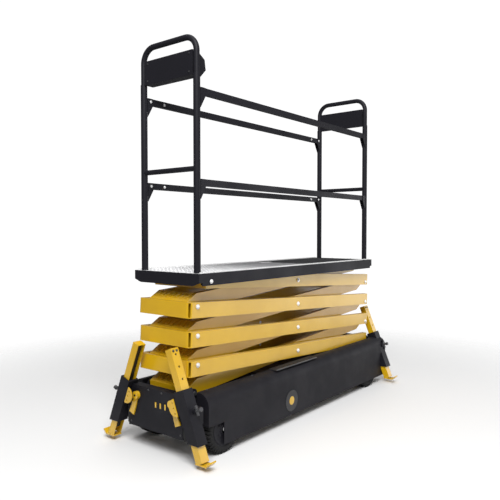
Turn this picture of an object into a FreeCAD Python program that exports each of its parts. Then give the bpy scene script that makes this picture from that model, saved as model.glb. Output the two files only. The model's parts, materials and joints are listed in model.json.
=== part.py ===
import FreeCAD, Part
import math
import os
import re

import Sketcher
from FreeCAD import Placement, Rotation, Vector

# Scissor lift work platform: a wheeled chassis with four stabiliser legs, a four-stage
# scissor, and a railed platform with a control console.
# +X runs along the machine, away from the console end; the "near" end is at -X.
# -Y is the right side. Z = 0 is the floor under the wheels.

doc = FreeCAD.newDocument("scissor_lift")

# ---------------------------------------------------------------- driving dimensions (mm)

SIZES = [
    # scissor
    ("half_span", 1100, "centre pivot to end pins, along the floor, when folded"),
    ("base_pin_height", 378, "fixed hinge of the lowest arm above the floor"),
    ("stage_rise", 179, "height of one folded stage, pin to pin"),
    ("pin_offset", 22, "end pins off the arm's centre line"),
    ("arm_height", 96, "arm tube height"),
    ("arm_width", 40, "arm tube width"),
    ("arm_wall", 4, "arm tube wall"),
    ("outer_half", 230, "half width over the outer frames"),
    ("inner_half", 170, "half width over the inner frames"),
    ("outer_near_reach", 1172, "pivot to the outer frame's near face"),
    ("outer_far_reach", 1142, "pivot to the outer frame's open far end"),
    ("base_far_reach", 1127, "the same on the lowest frame, which swings close over the chassis"),
    ("outer_front_depth", 26, "depth of the outer frame's near crossbar"),
    ("outer_corner_radius", 28, "plan radius of the outer frame's near corners"),
    ("inner_reach", 1130, "pivot to the inner frame's ends"),
    ("end_slope_length", 85, "length of the inner frame's sloping end"),
    ("end_slope_drop", 40, "drop of the inner frame's sloping end"),
    ("end_plate_wall", 8, "inner frame's end plates"),
    ("top_half_span", 1040, "centre pivot to the platform's pins"),
    ("top_lug_reach", 24, "arm left beyond the platform's pins"),
    ("top_front_reach", 1024, "pivot to the top outer frame's near face"),
    ("arm_trim_height", 1096, "top arms are cut level here, below the deck"),
    ("cross_tube_radius", 20, "outer frame's cross tube"),
    ("cross_tube_place", 800, "outer frame's cross tube from the pivot"),
    ("pin_radius", 12, "hinge pins"),
    ("pin_head_radius", 15, "heads of the hinge pins"),
    ("boss_radius", 20, "pin bosses inside the arm tubes"),
    ("running_gap", 0.05, "radial gap of a running pin"),
    ("open_gap", 0.4, "radial gap of the opened pivots"),
    # rollers and tracks
    ("base_roller_radius", 30, "rollers in the chassis tracks"),
    ("deck_roller_radius", 22, "rollers under the deck"),
    ("track_gap", 0.5, "play between a roller and its track"),
    ("track_wall", 4, "track channel wall"),
    # lift cylinder
    ("cylinder_arm", 500, "fixed hinge to each end of the cylinder"),
    ("cylinder_base_angle", 32.7, "slope down to the cylinder's lower pin, degrees"),
    ("cylinder_top_angle", 4.9, "slope up to the cylinder's upper pin, degrees"),
    ("barrel_radius", 32, "cylinder barrel"),
    ("barrel_bore", 24, "cylinder bore"),
    ("rod_radius", 16, "piston rod"),
    ("cylinder_pin_radius", 14, "pins at both ends of the cylinder"),
    ("rod_slot", 5, "slot in the rod's eye"),
    # chassis
    ("beam_in", 150, "inner face of a chassis beam"),
    ("beam_out", 200, "outer face of a chassis beam"),
    ("beam_low", 230, "underside of a chassis beam"),
    ("beam_high", 340, "top of a chassis beam"),
    ("beam_half", 1166, "half length of a chassis beam"),
    ("beam_wall", 6, "chassis beam wall"),
    ("bolster_half", 338, "half length of the end crossmembers"),
    ("bolster_depth", 31, "depth of the end crossmembers"),
    ("floor_low", 66, "underside of the chassis floor pan"),
    ("floor_wall", 6, "floor pan thickness"),
    ("pan_half", 790, "half length of the floor pan"),
    ("panel_place", 1240, "outer face of the end panels"),
    ("panel_half", 240, "half width of the end panels"),
    ("panel_low", 134, "bottom edge of the end panels"),
    ("chassis_top", 398, "top of panels and side covers"),
    ("panel_wall", 6, "end panel thickness"),
    ("cover_out", 345, "outer face of the side covers"),
    ("cover_in", 247, "inner edge of the side covers"),
    ("cover_low", 58, "bottom edge of the side covers"),
    ("cover_wall", 4, "side cover thickness"),
    ("cover_radius", 80, "shoulder radius of the side covers"),
    ("cover_near", 1125, "near end of the side covers"),
    ("cover_far", 1283, "far end of the side covers"),
    ("arch_place", 985, "side cover's wheel opening ends here"),
    ("arch_height", 200, "top of the wheel opening"),
    # wheels
    ("wheel_place", 970, "axles from the middle"),
    ("wheel_radius", 150, "wheel radius"),
    ("tyre_width", 58, "one tyre of a pair"),
    ("tyre_gap", 10, "gap between a pair of tyres"),
    ("wheel_out", 338, "outer face of the wheels"),
    ("rim_radius", 104, "rim radius"),
    ("axle_radius", 15, "axle radius"),
    # stabilisers
    ("leg_place", 1237, "leg centres from the middle, along the machine"),
    ("leg_side", 358, "leg axis from the middle at the foot of its sleeve"),
    ("sleeve_foot", 140, "height of the foot of the sleeve"),
    ("leg_lean", 22, "lean of the legs, degrees"),
    ("leg_width", 62, "leg channel, along the machine"),
    ("leg_depth", 50, "leg channel, across the machine"),
    ("leg_wall", 5, "leg channel wall"),
    ("leg_below", 110, "leg below the foot of its sleeve"),
    ("leg_above", 570, "leg above the foot of its sleeve"),
    ("sleeve_length", 318, "sleeve length above its foot"),
    ("sleeve_wall", 8, "sleeve wall on the faces along the machine"),
    ("sleeve_side_wall", 14, "sleeve wall and wear strip on the inboard and outboard faces"),
    ("sleeve_play", 1, "play between leg and sleeve"),
    ("sleeve_clearance", 3, "clearance around a sleeve where panels and covers are cut away"),
    ("foot_wall", 8, "foot plate thickness"),
    ("foot_inboard", 32, "foot plate inboard of the leg"),
    ("foot_outboard", 52, "foot plate outboard of the leg"),
    ("foot_tip", 26, "turned-up tip of the foot"),
    ("sector_radius", 54, "half-round sector plate"),
    ("sector_wall", 6, "thickness of the sector plate"),
    ("sector_place", 53, "centre of the sector plate from the leg's axis"),
    ("sector_height", 232, "sector plate above the foot of the sleeve"),
    ("index_height", 182, "index pin above the foot of the sleeve"),
    ("index_radius", 6, "index pin radius"),
    ("lever_side", 160, "lever hub from the middle"),
    ("lever_height", 338, "lever hub above the floor"),
    ("lever_length", 133, "lever hub to tip"),
    ("lever_stud", 6, "radius of the lever's stud"),
    ("stud_length", 27, "stud beyond the end panel"),
    ("bumper_radius", 14, "radius of the corner bumpers"),
    ("bumper_low", 146, "foot of the corner bumpers"),
    ("bumper_high", 254, "top of the corner bumpers"),
    ("badge_radius", 75, "round badge on each side cover"),
    ("badge_place", 250, "badge centre from the middle, towards the near end"),
    ("badge_height", 162, "badge centre above the floor"),
    # platform
    ("deck_height", 1120, "top of the deck"),
    ("deck_wall", 14, "deck grating thickness"),
    ("platform_length", 2250, "platform length"),
    ("platform_width", 580, "platform width"),
    ("platform_shift", -22, "platform centre, along the machine"),
    ("skirt_height", 76, "platform edge height"),
    ("skirt_wall", 6, "platform edge thickness"),
    ("skirt_chamfer", 20, "cut at the lower corners of the platform edge"),
    # guard rails
    ("post_radius", 21.5, "rail posts"),
    ("tube_wall", 2.5, "wall of posts and hoops"),
    ("post_inset", 40, "post axis from the platform's end"),
    ("post_side", 236, "post axis from the middle"),
    ("post_height", 1200, "posts above the deck"),
    ("crossbar_height", 633, "crossbars above the deck"),
    ("crossbar_radius", 16.5, "crossbar radius"),
    ("hoop_radius", 18.5, "hoop tube radius"),
    ("hoop_height", 1430, "hoop centre line above the deck"),
    ("hoop_bend", 95, "hoop bend radius"),
    ("hoop_socket", 70, "hoop tube inside each post"),
    ("top_rail_height", 1100, "top rails above the deck"),
    ("mid_rail_height", 550, "middle rails above the deck"),
    ("rail_high", 42, "side rail height"),
    ("rail_thick", 26, "side rail thickness"),
    ("bracket_reach", 40, "rail bracket along the rail"),
    ("bracket_drop", 80, "rail bracket below the rail"),
    # console
    ("console_half", 214, "half width of the console"),
    ("console_low", 1195, "console's bottom above the deck"),
    ("console_high", 1345, "console's top above the deck"),
    ("face_run", 62, "console's sloping face, along the machine"),
    ("face_drop", 40, "console's sloping face, top to bottom edge"),
]

dims = doc.addObject("Spreadsheet::Sheet", "dims")
for row, (alias, value, note) in enumerate(SIZES, start=1):
    dims.set(f"A{row}", note)
    dims.set(f"B{row}", str(value))
    dims.setAlias(f"B{row}", alias)
doc.recompute()


def ex(text):
    """An expression in sheet terms: every dimension's name gets the sheet's prefix."""
    return re.sub(r"\b([a-z]+(?:_[a-z]+)+)\b", r"dims.\1", str(text))


def val(text):
    """The present value of a dimension, for shapes that are made directly."""
    return float(dims.get(text))


# Lines and points that follow from the driving dimensions, as expressions.
ARM_LINE = "sqrt(half_span^2 + (stage_rise / 2)^2)"
ARM_TILT = f"(atan(stage_rise / 2 / half_span) - asin(pin_offset / {ARM_LINE}))"
PIN_ALONG = f"sqrt({ARM_LINE}^2 - pin_offset^2)"
TOP_PIN_ALONG = f"(top_half_span / cos({ARM_TILT}))"


def pin_level(level):
    """Height of the end pins between stages: level 0 is on the chassis."""
    return f"(base_pin_height + {level} * stage_rise)"


def pivot_level(stage):
    """Height of a stage's centre pivot."""
    return f"(base_pin_height + ({stage} - 0.5) * stage_rise)"


DECK_PIN_LEVEL = f"({pivot_level(4)} + top_half_span * tan({ARM_TILT}))"
CYLINDER_BASE = (
    "(-half_span + cylinder_arm * cos(cylinder_base_angle))",
    "(base_pin_height - cylinder_arm * sin(cylinder_base_angle))",
)
CYLINDER_TOP = (
    "(-half_span + cylinder_arm * cos(cylinder_top_angle))",
    "(base_pin_height + cylinder_arm * sin(cylinder_top_angle))",
)
CYLINDER_CLOSED = "(2 * cylinder_arm * sin((cylinder_base_angle + cylinder_top_angle) / 2))"
CYLINDER_SLOPE = "(90 - (cylinder_base_angle - cylinder_top_angle) / 2)"
NEAR_END = "(platform_shift - platform_length / 2)"
FAR_END = "(platform_shift + platform_length / 2)"

# ---------------------------------------------------------------- building helpers

ALONG = {
    "x": Rotation(Vector(0, 1, 0), 90),
    "y": Rotation(Vector(1, 0, 0), -90),
    "z": Rotation(),
}


def place(obj, x="0", y="0", z="0"):
    for axis, text in zip("xyz", (x, y, z)):
        obj.setExpression(f"Placement.Base.{axis}", ex(text))
    return obj


def turn(obj, axis, angle, x="0", y="0", z="0"):
    """Turn a finished piece about a world axis and put its origin at a point."""
    obj.Placement = Placement(Vector(), Rotation(Vector(*axis), 1))
    obj.setExpression("Placement.Rotation.Angle", ex(angle))
    return place(obj, x, y, z)


def block(x, y, z, name="block"):
    """A box between two limits on each axis."""
    obj = doc.addObject("Part::Box", name)
    for prop, (low, high) in zip(("Length", "Width", "Height"), (x, y, z)):
        obj.setExpression(prop, ex(f"({high}) - ({low})"))
    return place(obj, x[0], y[0], z[0])


def rod(axis, start, length, radius, name="rod"):
    """A cylinder that starts at a point and runs along an axis."""
    obj = doc.addObject("Part::Cylinder", name)
    obj.setExpression("Radius", ex(radius))
    obj.setExpression("Height", ex(length))
    obj.Placement = Placement(Vector(), ALONG[axis])
    return place(obj, *start)


def fuse(parts, name="fuse"):
    obj = doc.addObject("Part::MultiFuse", name)
    obj.Shapes = parts
    return obj


def group(parts, name="group"):
    """Separate solids that share one node."""
    obj = doc.addObject("Part::Compound", name)
    obj.Links = parts
    return obj


def cut(base, tools, name="cut"):
    obj = doc.addObject("Part::Cut", name)
    obj.Base = base
    obj.Tool = tools[0] if len(tools) == 1 else fuse(tools)
    return obj


def span(sign, low, high):
    """Limits on one side of the middle: the right side is the mirror of the left."""
    return (low, high) if sign > 0 else (f"-({high})", f"-({low})")


def edge_at(shape, point, direction):
    """The straight edge along a direction that passes through a point."""
    for number, edge in enumerate(shape.Edges, start=1):
        if edge.Curve.TypeId != "Part::GeomLine":
            continue
        along = edge.tangentAt(edge.FirstParameter)
        if abs(abs(along.dot(direction)) - 1) > 1e-6:
            continue
        gap = edge.Vertexes[0].Point - point
        if (gap - direction * gap.dot(direction)).Length < 1e-3:
            return f"Edge{number}"
    raise RuntimeError("no edge at the corner to be rounded")


PLANES = {"XY": ("XY_Plane", 1), "XZ": ("XZ_Plane", -1), "YZ": ("YZ_Plane", 1)}


def profile(plane, points, low, high, rounds=(), name="profile"):
    """A closed outline on a plane, padded between two limits along the plane's normal.

    rounds lists (point index, radius) for the corners that are rounded.
    """
    role, way = PLANES[plane]
    body = doc.addObject("PartDesign::Body", name)
    sketch = body.newObject("Sketcher::SketchObject", f"{name}_outline")
    origin_plane = next(f for f in body.Origin.OriginFeatures if f.Role == role)
    sketch.AttachmentSupport = (origin_plane, "")
    sketch.MapMode = "FlatFace"
    start = low if way > 0 else f"-({high})"
    sketch.setExpression("AttachmentOffset.Base.z", ex(start))
    corners = [Vector(math.cos(2 * math.pi * i / len(points)), math.sin(2 * math.pi * i / len(points)), 0)
               for i in range(len(points))]
    for i in range(len(points)):
        sketch.addGeometry(Part.LineSegment(corners[i], corners[(i + 1) % len(points)]))
    for i in range(len(points)):
        sketch.addConstraint(Sketcher.Constraint("Coincident", i, 2, (i + 1) % len(points), 1))
    for i, (across, up) in enumerate(points):
        for kind, text in (("DistanceX", across), ("DistanceY", up)):
            number = sketch.addConstraint(Sketcher.Constraint(kind, -1, 1, i, 1, 1.0))
            sketch.setExpression(f"Constraints[{number}]", ex(text))
    pad = body.newObject("PartDesign::Pad", f"{name}_pad")
    pad.Profile = sketch
    pad.setExpression("Length", ex(f"({high}) - ({low})"))
    doc.recompute()
    for index, radius in rounds:
        base = body.Tip
        corner = sketch.getPoint(index, 1)
        world = sketch.Placement.multVec(corner)
        normal = sketch.Placement.Rotation.multVec(Vector(0, 0, 1))
        fillet = body.newObject("PartDesign::Fillet", f"{name}_round")
        fillet.Base = (base, [edge_at(base.Shape, world, normal)])
        fillet.setExpression("Radius", ex(radius))
        doc.recompute()
    return body


nodes = []


def node(label, obj):
    """Give a finished sub-part the label that names its file."""
    obj.Label = label
    nodes.append(obj)
    return obj


SIDES = (1, -1)
ENDS = (("near", -1), ("far", 1))

# ---------------------------------------------------------------- scissor frames


def arm_holes(along, up, radius):
    """One pin hole through both arms of a frame."""
    return rod("y", (along, "-outer_half - 1", up), "2 * outer_half + 2", radius)


def arm_bosses(along, up, half):
    """Solid bosses inside both arm tubes, around a pin."""
    return [rod("y", (along, span(side, f"{half} - arm_width", half)[0], up), "arm_width", "boss_radius")
            for side in SIDES]


def outer_frame(stage):
    """A U of rectangular tube, high at the near end, with its cross tube."""
    top = stage == 4
    near = "top_front_reach" if top else "outer_near_reach"
    far = "base_far_reach" if stage == 1 else "outer_far_reach"
    near_pin = (f"-{TOP_PIN_ALONG}", "0") if top else (f"-{PIN_ALONG}", "pin_offset")
    far_pin = (PIN_ALONG, "-pin_offset")

    def u_outline(inset, end):
        return [
            (f"-{near} + {inset}", f"-outer_half + {inset}"),
            (end, f"-outer_half + {inset}"),
            (end, f"-outer_half + arm_width - {inset}"),
            (f"-{near} + outer_front_depth - {inset}", f"-outer_half + arm_width - {inset}"),
            (f"-{near} + outer_front_depth - {inset}", f"outer_half - arm_width + {inset}"),
            (end, f"outer_half - arm_width + {inset}"),
            (end, f"outer_half - {inset}"),
            (f"-{near} + {inset}", f"outer_half - {inset}"),
        ]

    corners = () if top else ((0, "outer_corner_radius"), (7, "outer_corner_radius"))
    tube = profile("XY", u_outline("0", far), "-arm_height / 2", "arm_height / 2", corners)
    hollow = profile("XY", u_outline("arm_wall", f"({far} + 1)"),
                     "-arm_height / 2 + arm_wall", "arm_height / 2 - arm_wall")
    shell = cut(tube, [hollow])
    cross = rod("y", ("-cross_tube_place", "-outer_half + arm_width", "0"),
                "2 * (outer_half - arm_width)", "cross_tube_radius")
    parts = [shell, cross]
    for along, up in (near_pin, ("0", "0"), far_pin):
        parts += arm_bosses(along, up, "outer_half")
    if top:
        reach = f"-{TOP_PIN_ALONG} - top_lug_reach"
        for side in SIDES:
            y = span(side, "outer_half - arm_width", "outer_half")
            lug = block((reach, f"-{near} + arm_wall"), y, ("-top_lug_reach", "top_lug_reach - 4"))
            parts.append(lug)
    holes = [
        arm_holes(near_pin[0], near_pin[1], "pin_radius"),
        arm_holes("0", "0", "pin_radius"),
        arm_holes(far_pin[0], far_pin[1], "pin_radius"),
    ]
    frame = cut(fuse(parts), holes)
    turn(frame, (0, 1, 0), ARM_TILT, z=pivot_level(stage))
    if top:
        above = block(("-half_span - 200", "0"), ("-outer_half - 1", "outer_half + 1"),
                      ("arm_trim_height", "arm_trim_height + 100"))
        frame = cut(frame, [above])
    return node(f"outer_frame_{stage}", frame)


def inner_frame(stage):
    """A closed ring of rectangular tube, low at the near end, with sloping ends."""
    top = stage == 4
    far = f"({TOP_PIN_ALONG} + top_lug_reach)" if top else "inner_reach"
    near_pin = (f"-{PIN_ALONG}", "-pin_offset")
    far_pin = (TOP_PIN_ALONG, "0") if top else (PIN_ALONG, "pin_offset")

    def outline(inset):
        high = f"arm_height / 2 - {inset}"
        return [
            (f"-inner_reach + {inset}", f"-arm_height / 2 + {inset}"),
            (f"{far} - end_slope_length", f"-arm_height / 2 + {inset}"),
            (f"{far} - {inset}", f"-arm_height / 2 + {inset} + end_slope_drop"),
            (f"{far} - {inset}", high),
            ("-inner_reach + end_slope_length", high),
            (f"-inner_reach + {inset}", f"{high} - end_slope_drop"),
        ]

    ring = profile("XZ", outline("0"), "-inner_half", "inner_half")
    middle = profile("XZ", outline("end_plate_wall"), "-inner_half + arm_width", "inner_half - arm_width")
    through = block(("-inner_reach + end_slope_length + 10", f"{far} - end_slope_length - 10"),
                    ("-inner_half + arm_width", "inner_half - arm_width"),
                    ("-arm_height / 2 - 1", "arm_height / 2 + 1"))
    hollows = [middle, through]
    for side in SIDES:
        low, high = span(side, "inner_half - arm_width + arm_wall", "inner_half - arm_wall")
        hollows.append(profile("XZ", outline("end_plate_wall"), low, high))
        drain = rod("z", ("-cross_tube_place", f"{side} * (inner_half - arm_width / 2)", "-arm_height / 2 - 1"),
                    "end_plate_wall + 2", "6")
        hollows.append(drain)
    parts = [cut(ring, hollows)]
    for along, up in (near_pin, ("0", "0"), far_pin):
        parts += arm_bosses(along, up, "inner_half")
    far_hole = "pin_radius" if top else "pin_radius + open_gap"
    holes = [
        arm_holes(near_pin[0], near_pin[1], "pin_radius + running_gap"),
        arm_holes("0", "0", "pin_radius + running_gap"),
        arm_holes(far_pin[0], far_pin[1], far_hole),
    ]
    frame = cut(fuse(parts), holes)
    turn(frame, (0, 1, 0), f"-{ARM_TILT}", z=pivot_level(stage))
    if top:
        above = block(("0", "half_span + 200"), ("-inner_half - 1", "inner_half + 1"),
                      ("arm_trim_height", "arm_trim_height + 100"))
        frame = cut(frame, [above])
        stubs = [rod("y", ("top_half_span", span(side, "inner_half - arm_width", "outer_half - 30")[0],
                           DECK_PIN_LEVEL), "outer_half - 30 - inner_half + arm_width", "pin_radius")
                 for side in SIDES]
        frame = fuse([frame] + stubs)
    if stage == 1:
        bar = rod("y", (CYLINDER_TOP[0], "-inner_half + arm_width", CYLINDER_TOP[1]),
                  "2 * (inner_half - arm_width)", "cylinder_pin_radius")
        frame = fuse([frame, bar])
    return node(f"inner_frame_{stage}", frame)


def headed_pin(along, up, inner, outer, side):
    """A pin through the arms with its round head outside and a spacer between them."""
    low, high = span(side, inner, outer)
    shank = rod("y", (along, low, up), f"({high}) - ({low})", "pin_radius")
    head_low, head_high = span(side, outer, f"{outer} + 5")
    head = rod("y", (along, head_low, up), f"({head_high}) - ({head_low})", "pin_head_radius")
    ring_low, ring_high = span(side, "inner_half + 1", "outer_half - arm_width - 0.5")
    ring = rod("y", (along, ring_low, up), f"({ring_high}) - ({ring_low})", "boss_radius")
    return fuse([shank, head, ring])


def frame_pins(stage):
    """The hinge pins that an outer frame carries: near end, centre and far end."""
    inner = "inner_half - arm_width - 2"
    places = [("0", pivot_level(stage), inner)]
    if stage < 4:
        places.append(("-half_span", pin_level(stage), inner))
    if stage > 1:
        places.append(("half_span", pin_level(stage - 1), inner))
    pins = [headed_pin(along, up, low, "outer_half", side)
            for along, up, low in places for side in SIDES]
    if stage == 1:
        for side in SIDES:
            low, high = span(side, "beam_in + track_wall + 1", "outer_half + 3")
            pins.append(rod("y", ("half_span", low, pin_level(0)), f"({high}) - ({low})", "pin_radius"))
    if stage == 4:
        for side in SIDES:
            low, high = span(side, "outer_half - arm_width - 4", "outer_half + 22")
            pins.append(rod("y", ("-top_half_span", low, DECK_PIN_LEVEL), f"({high}) - ({low})", "pin_radius"))
    return node(f"frame_pins_{stage}", group(pins))


for stage in range(1, 5):
    inner_frame(stage)
    outer_frame(stage)
    frame_pins(stage)


def rollers(label, along, up, radius, inner, outer):
    """A pair of track rollers on their pins."""
    pair = []
    for side in SIDES:
        low, high = span(side, inner, outer)
        wide = f"({high}) - ({low})"
        wheel = rod("y", (along, low, up), wide, radius)
        bore = rod("y", (along, f"{low} - 1", up), f"{wide} + 2", "pin_radius + running_gap")
        pair.append(cut(wheel, [bore]))
    return node(label, group(pair))


rollers("base_rollers", "half_span", pin_level(0), "base_roller_radius", "beam_in + 8", "outer_half - arm_width - 3")
rollers("deck_rollers", "top_half_span", DECK_PIN_LEVEL, "deck_roller_radius", "inner_half + 5", "outer_half - 32")

# ---------------------------------------------------------------- lift cylinder


def cylinder():
    """Barrel and rod stand on their own axis and are turned into place about the lower pin."""
    low_x, low_z = CYLINDER_BASE
    reach = CYLINDER_CLOSED
    tube = rod("z", ("0", "0", "22"), f"{reach} - 22 - 28", "barrel_radius")
    bore = rod("z", ("0", "0", "34"), f"{reach} - 34 - 36", "barrel_bore")
    mouth = rod("z", ("0", "0", "30"), reach, "rod_radius + 0.3")
    eye = rod("y", ("0", "-26", "0"), "52", "barrel_radius - 4")
    eye_hole = rod("y", ("0", "-30", "0"), "60", "cylinder_pin_radius + running_gap")
    port = rod("x", ("barrel_radius - 4", "0", "52"), "16", "8")
    barrel = cut(fuse([cut(tube, [bore]), eye, port]), [mouth, eye_hole])
    turn(barrel, (0, 1, 0), f"90 - {CYLINDER_SLOPE}", low_x, "0", low_z)
    node("cylinder_barrel", barrel)

    shaft = rod("z", ("0", "0", "60"), f"{reach} - 60 - 20", "rod_radius")
    piston = rod("z", ("0", "0", "40"), "24", "barrel_bore - 0.3")
    head = rod("y", ("0", "-20", reach), "40", "barrel_radius - 6")
    neck = block(("-22", "22"), ("-20", "20"), (f"{reach} - 24", reach))
    cap = block(("-26", "26"), ("-20", "20"), (reach, f"{reach} + rod_slot"))
    far_head = rod("y", ("0", "-20", f"{reach} + rod_slot"), "40", "barrel_radius - 6")
    hole = rod("y", ("0", "-30", reach), "60", "cylinder_pin_radius + open_gap")
    far_hole = rod("y", ("0", "-30", f"{reach} + rod_slot"), "60", "cylinder_pin_radius + open_gap")
    slot = block(("-cylinder_pin_radius - open_gap", "cylinder_pin_radius + open_gap"), ("-30", "30"),
                 (reach, f"{reach} + rod_slot"))
    piston_rod = cut(fuse([shaft, piston, head, neck, cap, far_head]), [hole, far_hole, slot])
    turn(piston_rod, (0, 1, 0), f"90 - {CYLINDER_SLOPE}", low_x, "0", low_z)
    node("cylinder_rod", piston_rod)


cylinder()

# ---------------------------------------------------------------- chassis


def chassis_frame():
    """Two box beams, end crossmembers, floor pan, axle hangers and the fixed hinge brackets."""
    parts = []
    holes = []
    for side in SIDES:
        y = span(side, "beam_in", "beam_out")
        beam = block(("-beam_half", "beam_half"), y, ("beam_low", "beam_high"))
        inside = block(("-beam_half + 30", "beam_half - 30"), span(side, "beam_in + beam_wall", "beam_out - beam_wall"),
                       ("beam_low + beam_wall", "beam_high - beam_wall"))
        drain = rod("z", ("0", f"{side} * (beam_in + beam_out) / 2", "beam_low - 1"), "beam_wall + 2", "8")
        parts.append(cut(beam, [inside, drain]))
        parts.append(block(("-pan_half", "pan_half"), span(side, "beam_out - 10", "beam_out - 4"),
                           ("floor_low", "beam_low")))
        for end in (-1, 1):
            middle = f"{end} * wheel_place"
            parts.append(block((f"{middle} - 50", f"{middle} + 50"), span(side, "beam_out - 34", "beam_out - 18"),
                               ("wheel_radius - 34", "beam_low")))
        plate = span(side, "beam_out - 16", "beam_out - 2")
        parts.append(block(("-half_span - 28", "-half_span + 28"), plate, ("beam_high", "base_pin_height")))
        parts.append(rod("y", ("-half_span", plate[0], "base_pin_height"), "14", "28"))
        lug = span(side, "barrel_radius + 2", "barrel_radius + 14")
        parts.append(block((f"{CYLINDER_BASE[0]} - 32", f"{CYLINDER_BASE[0]} + 32"), lug,
                           ("floor_low + floor_wall", CYLINDER_BASE[1])))
        parts.append(rod("y", (CYLINDER_BASE[0], lug[0], CYLINDER_BASE[1]), "12", "32"))
    parts.append(block(("-pan_half", "pan_half"), ("-beam_out + 4", "beam_out - 4"),
                       ("floor_low", "floor_low + floor_wall")))
    for end in (-1, 1):
        x = span(end, "beam_half", "beam_half + bolster_depth")
        parts.append(block(x, ("-bolster_half", "bolster_half"), ("beam_low + 5", "beam_high - 5")))
        holes.append(rod("y", (f"{end} * wheel_place", "-beam_out", "wheel_radius"), "2 * beam_out", "axle_radius"))
    holes.append(rod("y", ("-half_span", "-beam_out - 1", "base_pin_height"), "2 * beam_out + 2", "pin_radius"))
    holes.append(rod("y", (CYLINDER_BASE[0], "-60", CYLINDER_BASE[1]), "120", "cylinder_pin_radius"))
    return node("chassis_frame", cut(fuse(parts), holes))


def base_pins():
    """Fixed hinge pins of the lowest arms and the cylinder's lower pin."""
    pins = []
    for side in SIDES:
        low, high = span(side, "inner_half - arm_width - 2", "beam_out + 12")
        pins.append(rod("y", ("-half_span", low, "base_pin_height"), f"({high}) - ({low})", "pin_radius"))
    pins.append(rod("y", (CYLINDER_BASE[0], "-barrel_radius - 18", CYLINDER_BASE[1]), "2 * (barrel_radius + 18)",
                    "cylinder_pin_radius"))
    return node("base_pins", group(pins))


def channel(x, web_side, inner, outer, low, high, side):
    """A C channel along X; its web is at the inner or the outer limit."""
    plate = (inner, f"{inner} + track_wall") if web_side == "inner" else (f"{outer} - track_wall", outer)
    web = block(x, span(side, *plate), (low, high))
    bottom = block(x, span(side, inner, outer), (low, f"{low} + track_wall"))
    top = block(x, span(side, inner, outer), (f"{high} - track_wall", high))
    return fuse([web, bottom, top])


def base_tracks():
    low = f"{pin_level(0)} - base_roller_radius - track_gap - track_wall"
    high = f"{pin_level(0)} + base_roller_radius + track_gap + track_wall"
    x = ("half_span - 450", "half_span + 60")
    rails = []
    for side in SIDES:
        rail = channel(x, "inner", "beam_in", "outer_half - arm_width - 2", low, high, side)
        foot = block(x, span(side, "beam_in", "outer_half - arm_width - 2"), ("beam_high", low))
        rails.append(fuse([rail, foot]))
    return node("base_tracks", group(rails))


def lean(obj, end, side):
    """Lean a piece drawn upright about the foot of its sleeve, and put it at its corner."""
    return turn(obj, (1, 0, 0), f"{side} * leg_lean", f"{end} * leg_place", f"{side} * leg_side", "sleeve_foot")


def sleeve_room(end, side):
    """The leaned room around a sleeve and its index pin that panels and covers keep clear of."""
    half_x = "leg_width / 2 + sleeve_play + sleeve_wall + sleeve_clearance"
    half_y = "leg_depth / 2 + sleeve_play + sleeve_side_wall + sleeve_clearance"
    around = block((f"-({half_x})", half_x), (f"-({half_y})", half_y), ("-45", "sleeve_length + 40"))
    pin_low, _ = span(side, "0", "160")
    pin = rod("y", ("0", pin_low, "index_height"), "160", "sector_radius - 12")
    return lean(fuse([around, pin]), end, side)


def end_panel(label, end):
    """Folded end plate, cut away at the leaned sleeves, with the studs of the leg levers."""
    face = span(end, "panel_place - panel_wall", "panel_place")
    top = span(end, "panel_place - 60", "panel_place")
    parts = [
        block(face, ("-panel_half", "panel_half"), ("panel_low", "chassis_top")),
        block(top, ("-panel_half", "panel_half"), ("chassis_top - panel_wall", "chassis_top")),
        block(span(end, "panel_place - 40", "panel_place"), ("-panel_half", "panel_half"),
              ("panel_low", "panel_low + panel_wall")),
    ]
    for side in SIDES:
        web = span(end, "beam_half + bolster_depth", "panel_place")
        parts.append(block(web, span(side, "beam_out - 26", "beam_out - 20"), ("beam_low + 5", "beam_high - 5")))
        low, _ = span(end, "panel_place", "panel_place + stud_length")
        parts.append(rod("x", (low, f"{side} * lever_side", "lever_height"), "stud_length", "lever_stud"))
    return node(label, cut(fuse(parts), [sleeve_room(end, side) for side in SIDES]))


def side_cover(label, side):
    """Moulded cover with a large shoulder, closed ends and a wheel opening at the near end."""
    def u(text):
        return f"{side} * ({text})"

    skin = profile("YZ", [
        (u("cover_out"), "cover_low"),
        (u("cover_out"), "chassis_top"),
        (u("cover_in"), "chassis_top"),
        (u("cover_in"), "chassis_top - 26"),
        (u("cover_in + cover_wall"), "chassis_top - 26"),
        (u("cover_in + cover_wall"), "chassis_top - cover_wall"),
        (u("cover_out - cover_wall"), "chassis_top - cover_wall"),
        (u("cover_out - cover_wall"), "cover_low"),
    ], "-cover_near", "cover_far", ((1, "cover_radius"), (6, "cover_radius - cover_wall")))
    near_cap = profile("YZ", [
        (u("cover_out"), "arch_height"),
        (u("cover_out"), "chassis_top"),
        (u("cover_in"), "chassis_top"),
        (u("cover_in"), "arch_height"),
    ], "-cover_near", "-cover_near + cover_wall", ((1, "cover_radius"),))
    far_cap = profile("YZ", [
        (u("cover_out"), "cover_low"),
        (u("cover_out"), "chassis_top"),
        (u("cover_in"), "chassis_top"),
        (u("cover_in"), "cover_low"),
    ], "cover_far - cover_wall", "cover_far", ((1, "cover_radius"),))
    opening = block(("-cover_near - 1", "-arch_place"), span(side, "cover_out - 20", "cover_out + 1"),
                    ("cover_low - 1", "arch_height"))
    return node(label, cut(fuse([skin, near_cap, far_cap]), [opening, sleeve_room(1, side)]))


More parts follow.
